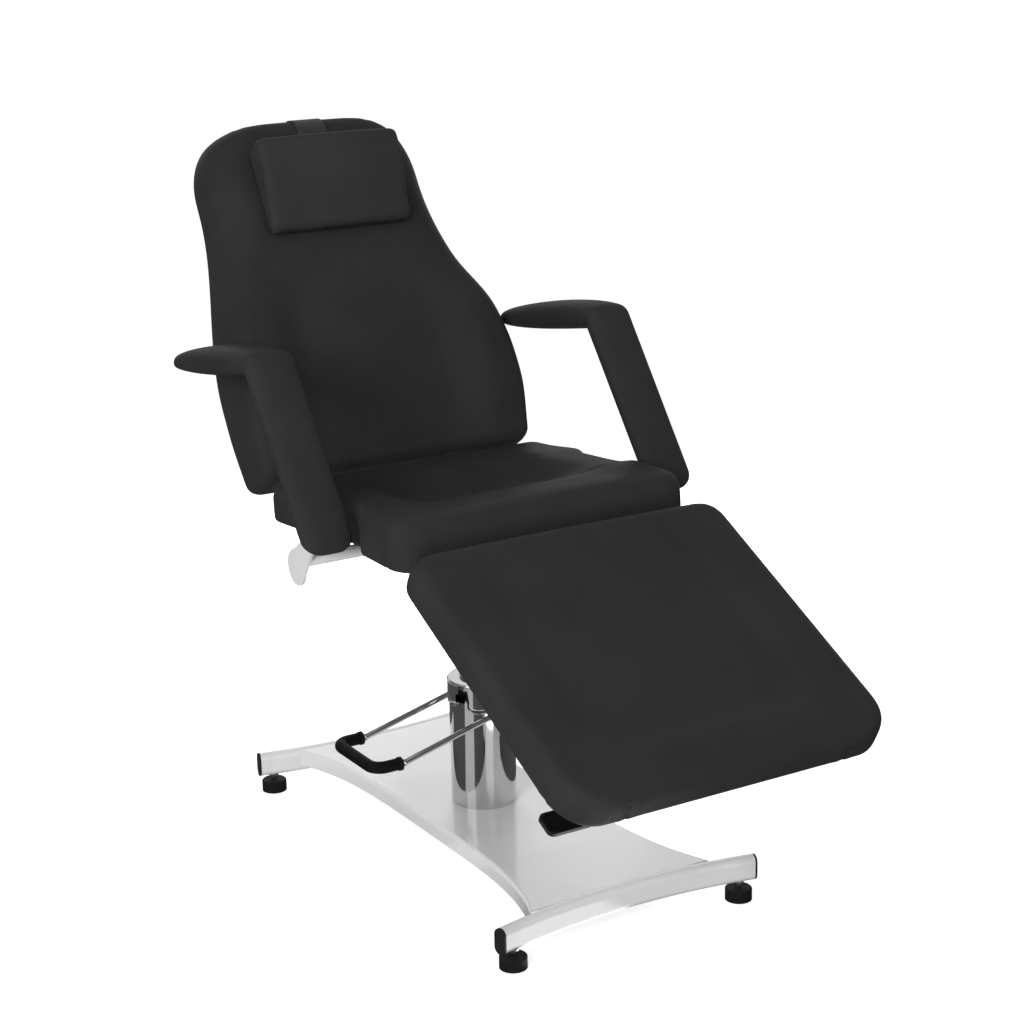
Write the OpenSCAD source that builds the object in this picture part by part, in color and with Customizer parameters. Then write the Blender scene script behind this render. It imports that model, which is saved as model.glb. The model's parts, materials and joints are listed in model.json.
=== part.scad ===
// Hydraulic treatment and examination chair with reclining back, tilting leg rest and folding arms.
// X points to the foot end, Y to the occupant's left, Z up. The origin lies on the floor,
// midway between the four levelling feet. All sizes are in millimetres.

/* [Base] */
// Distance between the feet along the chair
foot_spacing_x = 902; // [800:1:1000]
// Distance between the feet across the chair
foot_spacing_y = 466; // [400:1:480]
// Diameter of a rubber foot pad
pad_d = 48; // [36:1:60]
// Height of a rubber foot pad
pad_h = 22; // [16:1:24]
// Length of a foot bar without its end caps
bar_length = 518; // [500:1:600]
// Height of the flat-oval foot bar
bar_h = 47; // [40:1:60]
// Thickness of the flat-oval foot bar
bar_w = 25; // [20:1:32]
// How far the middle of a foot bar is bent towards the column
bar_bow = 30; // [10:1:50]
// Height of the foot bar above the floor
bar_lift = 33; // [30:1:45]
// Half of the base plate's width at its waist
plate_half_waist = 137; // [110:1:160]
// Half of the base plate's width where it meets the bars
plate_half_end = 200; // [170:1:215]
// Depth of the flange along the plate's long sides
plate_flange_h = 30; // [20:1:40]
// Thickness of the base plate's steel
plate_t = 3; // [2:0.5:5]

/* [Pump] */
// Distance of the column from the middle of the base, towards the foot end
column_x = -28; // [-60:1:60]
// Outer diameter of the chrome column cover
cover_d = 122; // [110:1:140]
// Height of the top of the pump cap above the floor
cap_top = 321; // [300:1:340]
// Diameter of the lifting ram
ram_d = 56; // [40:1:60]
// Lifting stroke of the pump
lift_stroke = 150; // [100:5:150]
// Distance from the column's axis to the pedal's far edge
pedal_reach = 267; // [220:1:320]
// Diameter of the pedal rod
pedal_rod_d = 11; // [8:0.5:14]
// Outer diameter of the pedal's rubber sleeve
grip_d = 22; // [16:0.5:26]
// Slope of the pedal rods below the level
pedal_slope = 14.6; // [8:0.1:20]

/* [Seat] */
// Tilt of the seat, front edge up
seat_tilt = 4.4; // [0:0.1:8]
// Height of the seat board's underside above the floor, over the middle of the base
seat_height = 626; // [610:1:640]
// Length of the seat cushion
seat_length = 505; // [460:1:520]
// Width of the seat cushion
seat_width = 590; // [540:1:620]
// Thickness of the seat cushion at its sides
seat_thick = 70; // [60:1:90]
// Depth of the dish in the seat
seat_dish = 26; // [0:1:32]

/* [Back] */
// Angle of the back above the level
back_angle = 60; // [50:1:65]
// Length of the back cushion
back_length = 715; // [600:1:760]
// Width of the back cushion over the side wings
back_width = 588; // [500:1:620]
// Width of the back cushion at the head
head_width = 468; // [340:1:480]
// Thickness of the back cushion
back_thick = 108; // [90:1:120]
// How far the side wings stand up from the back
wing_rise = 34; // [0:1:34]

/* [Leg rest] */
// Slope of the leg rest below the level
leg_angle = 27.5; // [20:0.5:35]
// Length of the leg cushion
leg_length = 580; // [480:1:620]
// Width of the leg cushion
leg_width = 630; // [560:1:640]
// Thickness of the leg cushion
leg_thick = 62; // [50:1:70]

/* [Arms and head cushion] */
// Distance between the inner faces of the armrests
arm_inner_gap = 612; // [600:1:680]
// Width of an armrest pad
arm_width = 94; // [60:1:100]
// Width of the head cushion
pillow_width = 300; // [240:1:340]
// Height of the head cushion
pillow_height = 178; // [140:1:200]
// Thickness of the head cushion along its upper edge
pillow_thick = 66; // [50:1:80]
// Width of the elastic strap
strap_w = 62; // [40:1:80]

/* [Hidden] */
$fn = 48;

// Colours
enamel = "gainsboro";
chrome = "silver";
steel = "slategray";
leatherette = "#303133";
rubber = "#1b1b1c";
plywood = "burlywood";

// Clearances and overruns
running_gap = 0.05;
fitted_gap = 0.3;
side_gap = 0.5;
cut_over = 2;
bend_r = 6;

// Derived values of the base
bar_r = (pow(bar_length / 2, 2) + pow(bar_bow, 2)) / (2 * bar_bow);
bar_half_angle = asin(bar_length / 2 / bar_r);
bar_mid_x = foot_spacing_x / 2 - (bar_r - sqrt(pow(bar_r, 2) - pow(foot_spacing_y / 2, 2)));
bar_wall = 2;
bar_top = bar_lift + bar_h;
plate_drop = 2;
plate_top = bar_top - plate_drop;
cap_plate_t = 4;
cap_plug_depth = 14;
pad_chamfer = 2;
pad_socket_depth = 10;
stud_d = 10;
stud_reach = 16;
stud_nut_d = 18;
stud_nut_h = 6;

// Derived values of the pump
cover_wall = 2;
cover_top = 284;
cap_lip = 275;
cap_wall = 2.6;
cap_disc_t = 12;
cap_d = cover_d + 2 * (fitted_gap + cap_wall);
cap_edge = 2;
cap_groove = 1;
cap_groove_low = 6;
cap_groove_high = 3;
notch_w = 22;
notch_h = 25;
notch_direction = -70;
flange_side_gap = 2;
flange_d = cover_d - 2 * cover_wall - 2 * flange_side_gap;
flange_t = 8;
pump_bolt_circle = 94;
pump_bolt_d = 8;
pump_bolt_head_d = 14;
pump_bolt_head_h = 5;
cylinder_d = 74;
pivot_z = 262;
pivot_d = 14;
yoke_outer_r = 51;
yoke_inner_r = 44;
yoke_t = 8;
sleeve_d = 22;
boss_d = 26;
boss_w = 16;
pedal_side_room = 13;
pedal_half = cover_d / 2 + pedal_side_room;
plunger_d = 11;
plunger_x = 45.5;
plunger_reach = 84;
plunger_travel = 26;
block_gap = 29;
block_d = 18;
bush_d = 68;
bush_flange_d = 82;
bush_flange_t = 4;
ram_engaged = 50;
grip_cover = 60;
grip_collar_w = 6;
grip_collar = 1.5;
pedal_corner_r = 24;
knee_rim = 1;
knee_gap = 1.5;

// Derived values of the seat
rail_w = 30;
rail_h = 30;
rail_y = 150;
rail_rear = -285;
hub_d = 96;
hub_flange_t = 8;
hub_flange_l = 150;
hub_wall = 14;
hub_depth = 96;
hub_bolt_d = 10;
hub_bolt_head_d = 17;
board_t = 12;
board_inset = 16;
seat_rear = -284;
seat_front = seat_rear + seat_length;
rail_front_gap = 4;
rail_front = seat_front + rail_front_gap;
back_pivot = [-309, 23];
leg_pivot_gap = 20;
leg_pivot = [seat_front + leg_pivot_gap, -25];
hinge_pin_d = 12;
knuckle_d = 28;
knuckle_w = 26;
lug_t = 6;
eye_share = 0.98;
back_hinge_y = 200;
leg_hinge_y = 150;

// Derived values of the gas struts
strut_y = 85;
strut_d = 22;
strut_rod_d = 10;
back_crank_r = 90;
back_recline_angle = 60;
back_raise_angle = 12;
leg_crank_r = 55;
leg_rise_angle = leg_angle;
leg_drop_angle = 22.5;
crank_pin_d = 8;
crank_eye_d = 17.6;
crank_t = 5;
slot_gap = 1.2;
head_t = 11;
head_rim = 6;
back_strut_length = 180;
leg_strut_length = 175;

// Derived values of the back and the leg rest
back_depth = 36;
back_start = 37;
tube = 25;
upright_length = 470;
head_start = 170;
head_end = 570;
pillow_top = 686;
strap_t = 1.6;
strap_gap = 0.3;
strap_back_drop = 230;
pillow_slide = 30;
leg_start = -14;
leg_frame_length = 480;
leg_surface = 65;
paddle_w = 44;
paddle_l = 76;
paddle_t = 4;
paddle_rim = 3;
paddle_arm = 46;
paddle_drop = 60;
paddle_at = 488;
paddle_pin_d = 8;

// Derived values of the arms
arm_pivot = [-19, -16.5];
arm_bar_d = 24;
arm_spigot_d = 20;
arm_plate_w = 66;
arm_plate_side_share = 0.94;
arm_plate_t = 5;
arm_tongue_w = 24;
arm_y = (arm_inner_gap + arm_width) / 2;

// Steps of the soft forms, and the widest share of a cushion that its rounded edge may take
edge_most = 0.9;
side_steps = 4;
top_steps = 18;
fold_steps = 3;

function sgn_pow(v, e) = sign(v) * pow(abs(v), e);
function mix(a, b, t) = a + (b - a) * t;
function clamp01(t) = min(1, max(0, t));
function ease(a, b, v) = let(t = clamp01((v - a) / (b - a))) t * t * (3 - 2 * t);
function flat(list) = [for (a = list) each a];

// Joins rings of equally many points into one closed solid
module skin(rings) {
    n = len(rings[0]);
    m = len(rings);
    first = flat(rings);
    centres = [for (r = [rings[0], rings[m - 1]]) [for (i = [0:2]) sum_of([for (p = r) p[i]]) / n]];
    walls = [for (j = [0:m - 2], i = [0:n - 1])
        let(a = j * n + i, b = j * n + (i + 1) % n)
        each [[a, a + n, b], [b, a + n, b + n]]];
    start_fan = [for (i = [0:n - 1]) [n * m, i, (i + 1) % n]];
    end_fan = [for (i = [0:n - 1]) [n * m + 1, (m - 1) * n + (i + 1) % n, (m - 1) * n + i]];
    polyhedron(points = concat(first, centres), faces = concat(walls, start_fan, end_fan));
}
function sum_of(v) = len(v) == 0 ? 0 : v * [for (i = v) 1];

// Frames of the moving assemblies
module in_seat() { translate([0, 0, seat_height]) rotate([0, -seat_tilt, 0]) children(); }
module in_back() { in_seat() translate([back_pivot[0], 0, back_pivot[1]])
    rotate([0, back_angle - 90 + seat_tilt, 0]) children(); }
module in_leg() { in_seat() translate([leg_pivot[0], 0, leg_pivot[1]])
    rotate([0, leg_angle + seat_tilt, 0]) children(); }
module in_arm(side) { in_seat() translate([arm_pivot[0], side * arm_y, arm_pivot[1]])
    rotate([0, seat_tilt, 0]) children(); }

// Basic pieces
module rod_y(d, from, to) { translate([0, from, 0]) rotate([-90, 0, 0]) cylinder(d = d, h = to - from); }
module rod_x(d, from, to) { translate([from, 0, 0]) rotate([0, 90, 0]) cylinder(d = d, h = to - from); }
module both_sides() { for (side = [-1, 1]) scale([1, side, 1]) children(); }
module block(lo, hi) { translate(lo) cube(hi - lo); }
module plate_y(outline, y, t) {
    translate([0, y + t / 2, 0]) rotate([90, 0, 0]) linear_extrude(t) polygon(outline);
}

// A square tube from lo to hi, open along the given axis
module box_tube(lo, hi, axis, wall = 2) {
    grow = [for (i = [0:2]) i == axis ? -cut_over : wall];
    difference() {
        block(lo, hi);
        block(lo + grow, hi - grow);
    }
}

// Foot bars, end caps, feet and studs
module flat_oval(w, h) {
    square([w, h - w], center = true);
    for (s = [-1, 1]) translate([0, s * (h - w) / 2]) circle(d = w);
}
module bar_sweep(w, h) {
    translate([bar_mid_x + bar_r, 0, bar_lift + bar_h / 2]) rotate([0, 0, 180 - bar_half_angle])
        rotate_extrude(angle = 2 * bar_half_angle, $fn = 160) translate([bar_r, 0]) flat_oval(w, h);
}
module at_bar_end(side) {
    translate([bar_mid_x + bar_r, 0, bar_lift + bar_h / 2]) rotate([0, 0, 180 - side * bar_half_angle])
        translate([bar_r, 0, 0]) rotate([side * 90, 0, 0]) children();
}
module at_feet() {
    for (sx = [-1, 1], sy = [-1, 1])
        translate([sx * foot_spacing_x / 2, sy * foot_spacing_y / 2, 0]) children();
}
module foot_bar() {
    color(enamel) difference() {
        bar_sweep(bar_w, bar_h);
        bar_sweep(bar_w - 2 * bar_wall, bar_h - 2 * bar_wall);
        at_feet() translate([0, 0, bar_lift - cut_over])
            cylinder(d = stud_d + 2 * running_gap, h = bar_w / 2 + cut_over);
    }
}
module foot_bar_front() { foot_bar(); }
module foot_bar_rear() { rotate([0, 0, 180]) foot_bar(); }
module bar_end_caps() {
    color(rubber) for (turn = [0, 180]) rotate([0, 0, turn]) for (side = [-1, 1]) at_bar_end(side) {
        linear_extrude(cap_plate_t) flat_oval(bar_w, bar_h);
        translate([0, 0, -cap_plug_depth]) linear_extrude(cap_plug_depth)
            flat_oval(bar_w - 2 * bar_wall - 2 * fitted_gap, bar_h - 2 * bar_wall - 2 * fitted_gap);
    }
}
module foot_pads() {
    color(rubber) at_feet() difference() {
        rotate_extrude() polygon([[0, 0], [pad_d / 2, 0], [pad_d / 2, pad_h - pad_chamfer],
            [pad_d / 2 - pad_chamfer, pad_h], [0, pad_h]]);
        translate([0, 0, pad_h - pad_socket_depth])
            cylinder(d = stud_d + 2 * running_gap, h = pad_socket_depth + cut_over);
    }
}
module foot_studs() {
    color(chrome) at_feet() {
        translate([0, 0, pad_h - pad_socket_depth])
            cylinder(d = stud_d, h = bar_lift + stud_reach - pad_h + pad_socket_depth);
        translate([0, 0, bar_lift - stud_nut_h]) cylinder(d = stud_nut_d, h = stud_nut_h, $fn = 6);
    }
}

// Pressed base plate with waisted sides and turned-down flanges
plate_reach = bar_mid_x + bar_bow;
plate_stations = 36;
function plate_half(x) =
    mix(plate_half_waist, plate_half_end, pow(abs(x) / plate_reach, 4));
function plate_section(x) =
    let(w = plate_half(x), low = plate_top - plate_flange_h, r = bend_r, q = bend_r - plate_t,
        outer = [for (a = [0:30:90]) [w - r + r * cos(a), plate_top - r + r * sin(a)]],
        inner = [for (a = [90:-30:0]) [w - r + q * cos(a), plate_top - r + q * sin(a)]],
        right = concat([[w, low]], outer),
        under = concat(inner, [[w - plate_t, low]]),
        mirrored = function(list) [for (i = [len(list) - 1:-1:0]) [-list[i][0], list[i][1]]])
    [for (p = concat(right, mirrored(right), mirrored(under), under)) [x, p[0], p[1]]];
module base_plate() {
    color(enamel) difference() {
        skin_closed([for (i = [0:plate_stations])
            plate_section(mix(-plate_reach, plate_reach, i / plate_stations))]);
        for (turn = [0, 180]) rotate([0, 0, turn]) bar_sweep(bar_w + 2 * fitted_gap, bar_h + 2 * fitted_gap);
        for (s = [-1, 1]) scale([s, 1, 1])
            block([bar_mid_x, -bar_length, 0], [plate_reach + bar_w, bar_length, bar_top + cut_over]);
        at_pump_bolts() translate([0, 0, -cut_over])
            cylinder(d = pump_bolt_d + 2 * running_gap, h = bar_top * 2);
    }
}
// Joins rings of a folded section; each end face is cut into quads across the sheet's thickness
module skin_closed(rings) {
    n = len(rings[0]);
    m = len(rings);
    walls = [for (j = [0:m - 2], i = [0:n - 1])
        let(a = j * n + i, b = j * n + (i + 1) % n)
        each [[a, a + n, b], [b, a + n, b + n]]];
    pairs = [for (i = [0:n / 2 - 2]) [i, i + 1, n - 2 - i, n - 1 - i]];
    start = [for (q = pairs) each [[q[0], q[1], q[2]], [q[0], q[2], q[3]]]];
    stop = [for (q = pairs) each [[q[0], q[2], q[1]] + [1, 1, 1] * n * (m - 1),
        [q[0], q[3], q[2]] + [1, 1, 1] * n * (m - 1)]];
    polyhedron(points = flat(rings), faces = concat(walls, start, stop));
}

// Pump: flange, bolts, cylinder, valve block, cover, cap and pedal pivots
module at_column() { translate([column_x, 0, 0]) children(); }
module at_pump_bolts() {
    at_column() for (a = [45:90:315]) rotate([0, 0, a]) translate([pump_bolt_circle / 2, 0, 0]) children();
}
flange_top = plate_top + flange_t;
cylinder_top = cap_top - cap_disc_t;
module pump_flange() {
    color(steel) difference() {
        at_column() translate([0, 0, plate_top]) cylinder(d = flange_d, h = flange_t);
        at_pump_bolts() cylinder(d = pump_bolt_d + 2 * running_gap, h = flange_top + cut_over);
    }
}
module pump_bolts() {
    color(steel) at_pump_bolts() {
        translate([0, 0, plate_top - plate_t - pump_bolt_head_h]) cylinder(d = pump_bolt_d,
            h = flange_t + plate_t + 2 * pump_bolt_head_h);
        translate([0, 0, plate_top - plate_t - pump_bolt_head_h])
            cylinder(d = pump_bolt_head_d, h = pump_bolt_head_h, $fn = 6);
        translate([0, 0, flange_top]) cylinder(d = pump_bolt_head_d, h = pump_bolt_head_h, $fn = 6);
    }
}
module pump_cylinder() {
    color(steel) at_column() difference() {
        translate([0, 0, flange_top]) cylinder(d = cylinder_d, h = cylinder_top - flange_top);
        translate([0, 0, max(flange_top + flange_t, cylinder_top - ram_engaged - lift_stroke - flange_t)])
            cylinder(d = ram_d + 2 * running_gap, h = cylinder_top);
    }
}
module valve_block() {
    color(steel) at_column() difference() {
        translate([0, -plunger_x, flange_top])
            cylinder(d = block_d, h = pivot_z - block_gap - flange_top);
        translate([0, -plunger_x, pivot_z - plunger_reach])
            cylinder(d = plunger_d + 2 * running_gap, h = plunger_reach);
        cylinder(d = cylinder_d + 2 * fitted_gap, h = cap_top);
    }
}
module pump_plunger() {
    color(chrome) at_column() translate([0, -plunger_x, pivot_z - plunger_reach + plunger_travel])
        cylinder(d = plunger_d, h = plunger_reach - plunger_travel - yoke_t / 2 - side_gap);
}
module column_cover() {
    color(chrome) at_column() difference() {
        translate([0, 0, plate_top]) cylinder(d = cover_d, h = cover_top - plate_top, $fn = 96);
        translate([0, 0, plate_top - cut_over])
            cylinder(d = cover_d - 2 * cover_wall, h = cover_top, $fn = 96);
        translate([0, 0, pivot_z]) rod_x(sleeve_d + 2 * side_gap, -cover_d, cover_d);
    }
}
module pump_cap() {
    color(chrome) at_column() difference() {
        rotate_extrude($fn = 96) polygon([
            [bush_d / 2 + running_gap, cap_top], [bush_d / 2 + running_gap, cylinder_top],
            [cap_d / 2 - cap_wall, cylinder_top], [cap_d / 2 - cap_wall, cap_lip],
            [cap_d / 2, cap_lip], [cap_d / 2, cap_top - cap_groove_low],
            [cap_d / 2 - cap_groove, cap_top - cap_groove_low + cap_groove],
            [cap_d / 2 - cap_groove, cap_top - cap_groove_high - cap_groove],
            [cap_d / 2, cap_top - cap_groove_high], [cap_d / 2 - cap_edge, cap_top],
        ]);
        rotate([0, 0, notch_direction]) block([cap_d / 4, -notch_w / 2, cap_lip - cut_over],
            [cap_d, notch_w / 2, cap_lip + notch_h]);
    }
}
module pedal_pivots() {
    head_x = pedal_half + boss_w / 2 + side_gap;
    color(chrome) at_column() difference() {
        translate([0, 0, pivot_z]) both_x() {
            rod_x(pivot_d, cylinder_d / 2 - pivot_d / 2, head_x);
            rod_x(pivot_d + 2 * cap_edge, head_x, head_x + cap_edge);
        }
        cylinder(d = cylinder_d, h = cap_top);
    }
}
module both_x() { for (side = [-1, 1]) scale([side, 1, 1]) children(); }

// Pedal: bosses, yoke and bent rod
pedal_rise = boss_d / 2 - cut_over / 2;
pedal_knee_y = pedal_reach - grip_cover;
knee_ball_d = pedal_rod_d + 2 * knee_rim;
pedal_start_y = pedal_knee_y + knee_ball_d / 2 + side_gap;
pedal_level = pivot_z + pedal_rise - pedal_knee_y * tan(pedal_slope);
module pedal_section(d, bore) {
    difference() {
        circle(d = d);
        if (bore > 0) circle(d = bore);
    }
}
// The level loop at the pedal's end, solid or as a sleeve with a bore
module pedal_loop(d, bore, from) {
    straight = pedal_reach - pedal_corner_r - from;
    across = 2 * (pedal_half - pedal_corner_r);
    at_column() translate([0, 0, pedal_level]) {
        both_x() {
            translate([pedal_half, -from, 0]) rotate([90, 0, 0])
                linear_extrude(straight) pedal_section(d, bore);
            translate([pedal_half - pedal_corner_r, -pedal_reach + pedal_corner_r, 0]) rotate([0, 0, -90])
                rotate_extrude(angle = 90) translate([pedal_corner_r, 0]) pedal_section(d, bore);
        }
        translate([-across / 2, -pedal_reach, 0]) rotate([0, 90, 0])
            linear_extrude(across) pedal_section(d, bore);
    }
}
module pedal_fork() {
    color(chrome) difference() {
        union() {
            pedal_loop(pedal_rod_d, 0, pedal_knee_y + knee_gap);
            at_column() both_x() translate([pedal_half, -pedal_knee_y, pedal_level]) {
                sphere(d = knee_ball_d);
                rotate([pedal_slope - 90, 0, 0]) translate([0, 0, knee_gap])
                    cylinder(d = pedal_rod_d, h = pedal_knee_y / cos(pedal_slope) - knee_gap);
            }
            at_column() translate([0, 0, pivot_z]) both_x() {
                rod_x(boss_d, pedal_half - boss_w / 2, pedal_half + boss_w / 2);
                rod_x(sleeve_d, cylinder_d / 2 + 2 * cut_over, pedal_half);
            }
            at_column() translate([0, 0, pivot_z - yoke_t / 2]) difference() {
                cylinder(r = yoke_outer_r, h = yoke_t);
                translate([0, 0, -cut_over]) cylinder(r = yoke_inner_r, h = yoke_t + 2 * cut_over);
                block([-cover_d, 0, -cut_over], [cover_d, cover_d, yoke_t + cut_over]);
            }
        }
        at_column() translate([0, 0, pivot_z]) both_x()
            rod_x(pivot_d + 2 * running_gap, cylinder_d / 2, pedal_half + boss_w);
    }
}
module pedal_grip() {
    color(rubber) {
        pedal_loop(grip_d, pedal_rod_d + 2 * running_gap, pedal_start_y);
        at_column() both_x() translate([pedal_half, -pedal_start_y, pedal_level]) rotate([90, 0, 0])
            linear_extrude(grip_collar_w)
                pedal_section(grip_d + 2 * grip_collar, pedal_rod_d + 2 * running_gap);
    }
}

// Turning bush, ram and hub
module ram_bush() {
    color(steel) at_column() difference() {
        union() {
            translate([0, 0, cylinder_top + side_gap]) cylinder(d = bush_d, h = cap_disc_t);
            translate([0, 0, cap_top + fitted_gap]) cylinder(d = bush_flange_d, h = bush_flange_t);
        }
        cylinder(d = ram_d + 2 * running_gap, h = cap_top * 2);
    }
}
hub_top = seat_height + column_x * sin(seat_tilt) - rail_h - hub_flange_t / 2;
hub_bottom = hub_top - hub_depth;
module lift_ram() {
    color(chrome) at_column() translate([0, 0, cylinder_top - ram_engaged])
        cylinder(d = ram_d, h = hub_top - hub_wall - cylinder_top + ram_engaged);
}
module seat_hub() {
    color(steel) difference() {
        union() {
            at_column() rotate_extrude() polygon([[0, hub_bottom], [ram_d / 2 + hub_wall, hub_bottom],
                [ram_d / 2 + hub_wall, hub_bottom + hub_depth / 3], [hub_d / 2, hub_top], [0, hub_top]]);
            in_seat() translate([column_x, 0, -rail_h - hub_flange_t]) hub_flange();
        }
        at_column() cylinder(d = ram_d + 2 * running_gap, h = hub_top - hub_wall);
    }
}
module hub_flange() {
    difference() {
        block([-hub_flange_l / 2, -rail_y - rail_w / 2, 0],
            [hub_flange_l / 2, rail_y + rail_w / 2, hub_flange_t]);
        at_hub_bolts() translate([0, 0, -cut_over])
            cylinder(d = hub_bolt_d + 2 * running_gap, h = hub_flange_t + 2 * cut_over);
    }
}
module at_hub_bolts() {
    for (sx = [-1, 1], sy = [-1, 1])
        translate([sx * (hub_flange_l / 2 - rail_w / 2), sy * rail_y, 0]) children();
}
module hub_bolts() {
    color(steel) in_seat() translate([column_x, 0, -rail_h - hub_flange_t]) at_hub_bolts() {
        cylinder(d = hub_bolt_d, h = hub_flange_t + hub_bolt_d);
        translate([0, 0, -hub_bolt_d / 2]) cylinder(d = hub_bolt_head_d, h = hub_bolt_d / 2, $fn = 6);
    }
}

// Seat frame
module seat_rails() {
    color(enamel) in_seat() both_sides() difference() {
        box_tube([rail_rear + rail_w, rail_y - rail_w / 2, -rail_h],
            [rail_front - rail_w, rail_y + rail_w / 2, 0], 0);
        translate([arm_pivot[0], 0, arm_pivot[1]])
            rod_y(arm_spigot_d + 2 * running_gap, rail_y - rail_w, rail_y + rail_w);
        translate([column_x, 0, -rail_h - cut_over]) at_hub_bolts()
            cylinder(d = hub_bolt_d + 2 * running_gap, h = rail_h / 2);
    }
}
module seat_cross_tubes() {
    color(enamel) in_seat() {
        box_tube([rail_rear, -back_hinge_y - rail_w, -rail_h],
            [rail_rear + rail_w, back_hinge_y + rail_w, 0], 1);
        box_tube([rail_front - rail_w, -leg_hinge_y - rail_w, -rail_h],
            [rail_front, leg_hinge_y + rail_w, 0], 1);
    }
}
// One hinge plate: a round eye, joined by straight sides to the tube at foot
module hinge_plate(pivot, foot_a, foot_b, y, t = lug_t) {
    difference() {
        union() {
            translate([pivot[0], 0, pivot[1]]) rod_y(knuckle_d, y - t / 2, y + t / 2);
            plate_y(eye_sides(pivot, foot_a, foot_b, knuckle_d / 2), y, t);
        }
        translate([pivot[0], 0, pivot[1]])
            rod_y(hinge_pin_d + 2 * running_gap, y - t, y + t);
    }
}
function eye_sides(pivot, a, b, r) =
    let(m = (a + b) / 2, u = (m - pivot) / norm(m - pivot), v = [-u[1], u[0]],
        s = sign((b - a) * v) * r * eye_share)
    [a, b, pivot + v * s, pivot - v * s];
lug_spread = knuckle_w / 2 + side_gap + lug_t / 2;
module hinge_pins(pivot, y) {
    translate([pivot[0], 0, pivot[1]]) both_sides() {
        rod_y(hinge_pin_d, y - lug_spread - lug_t / 2, y + lug_spread + lug_t / 2);
        for (s = [-1, 1]) translate([0, y + s * (lug_spread + lug_t / 2 + cap_edge / 2), 0])
            rod_y(hinge_pin_d + 2 * cap_edge, -cap_edge / 2, cap_edge / 2);
    }
}
module back_hinge_lugs() {
    color(enamel) in_seat() {
        for (y = [-1, 1] * back_hinge_y, s = [-1, 1])
            hinge_plate(back_pivot, [rail_rear, -rail_h], [rail_rear, 0], y + s * lug_spread);
        hinge_pins(back_pivot, back_hinge_y);
    }
}
module leg_hinge_lugs() {
    color(enamel) in_seat() {
        for (y = [-1, 1] * leg_hinge_y, s = [-1, 1])
            hinge_plate(leg_pivot, [rail_front, -rail_h], [rail_front, -rail_h / 4], y + s * lug_spread);
        hinge_pins(leg_pivot, leg_hinge_y);
    }
}

// Gas struts that hold the back and the leg rest, each with a slotted head on its rod
back_mid = (back_raise_angle - back_recline_angle) / 2;
back_half_sweep = (back_raise_angle + back_recline_angle) / 2;
leg_mid = (leg_drop_angle - leg_rise_angle) / 2;
leg_half_sweep = (leg_drop_angle + leg_rise_angle) / 2;
function chord_rate(half) = (sin(half) + sin(half / 2)) / (1.5 * half);
back_rate = chord_rate(back_half_sweep);
leg_rate = chord_rate(leg_half_sweep);
back_head_x = back_pivot[0] + back_crank_r * back_rate * back_mid;
leg_head_x = leg_pivot[0] + leg_crank_r * leg_rate * leg_mid;
function slot_span(r, half) = r * (1 - cos(half));
back_strut_z = back_pivot[1] - back_crank_r + slot_span(back_crank_r, back_half_sweep) / 2;
leg_strut_z = leg_pivot[1] - leg_crank_r + slot_span(leg_crank_r, leg_half_sweep) / 2;
back_strut_rear = back_pivot[0] + back_crank_r * sin(back_half_sweep) + crank_pin_d + 3 * head_rim;
leg_strut_front = leg_pivot[0] - leg_crank_r * sin(leg_half_sweep) - crank_pin_d - 3 * head_rim;
module strut_cylinder(from, to, z, y) {
    translate([0, y, z]) difference() {
        rod_x(strut_d, from, to);
        rod_x(strut_rod_d + 2 * running_gap, from - cut_over, to + cut_over);
    }
}
module strut_mount(x, y, z) {
    low = z - strut_d / 2 - head_rim;
    difference() {
        block([x - rail_w / 2, y - strut_d / 2 - head_rim, low],
            [x + rail_w / 2, y + strut_d / 2 + head_rim, -rail_h - hub_flange_t]);
        translate([0, y, z]) rod_x(strut_d + 2 * running_gap, x - rail_w, x + rail_w);
    }
}
back_mount_x = back_strut_rear + back_strut_length - rail_w / 2;
leg_mount_x = leg_strut_front - leg_strut_length + rail_w / 2;
module strut_mounts() {
    color(enamel) in_seat() {
        strut_mount(back_mount_x, -strut_y, back_strut_z);
        strut_mount(leg_mount_x, strut_y, leg_strut_z);
    }
}
module back_strut_cylinder() {
    color(rubber) in_seat()
        strut_cylinder(back_strut_rear, back_strut_rear + back_strut_length, back_strut_z, -strut_y);
}
module leg_strut_cylinder() {
    color(rubber) in_seat()
        strut_cylinder(leg_strut_front - leg_strut_length, leg_strut_front, leg_strut_z, strut_y);
}
// Rod from its head towards the cylinder; the head carries an upright slot for the crank pin
module strut_rod(head_x, inner_x, span, z, y) {
    reach = span / 2 + crank_pin_d / 2 + slot_gap;
    half = crank_pin_d / 2 + slot_gap;
    translate([0, y, z]) {
        rod_x(strut_rod_d, min(head_x + half + head_rim / 2, inner_x),
            max(head_x - half - head_rim / 2, inner_x));
        difference() {
            block([head_x - half - head_rim, -head_t / 2, -reach - head_rim],
                [head_x + half + head_rim, head_t / 2, reach + head_rim]);
            block([head_x - half, -head_t, half - reach], [head_x + half, head_t, reach - half]);
            for (s = [-1, 1]) translate([head_x, 0, s * (reach - half)]) rod_y(2 * half, -head_t, head_t);
        }
    }
}
module back_strut_rod() {
    color(chrome) in_seat() strut_rod(back_head_x, back_strut_rear + back_strut_length / 4,
        slot_span(back_crank_r, back_half_sweep), back_strut_z, -strut_y);
}
module leg_strut_rod() {
    color(chrome) in_seat() strut_rod(leg_head_x, leg_strut_front - leg_strut_length / 4,
        slot_span(leg_crank_r, leg_half_sweep), leg_strut_z, strut_y);
}
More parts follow.
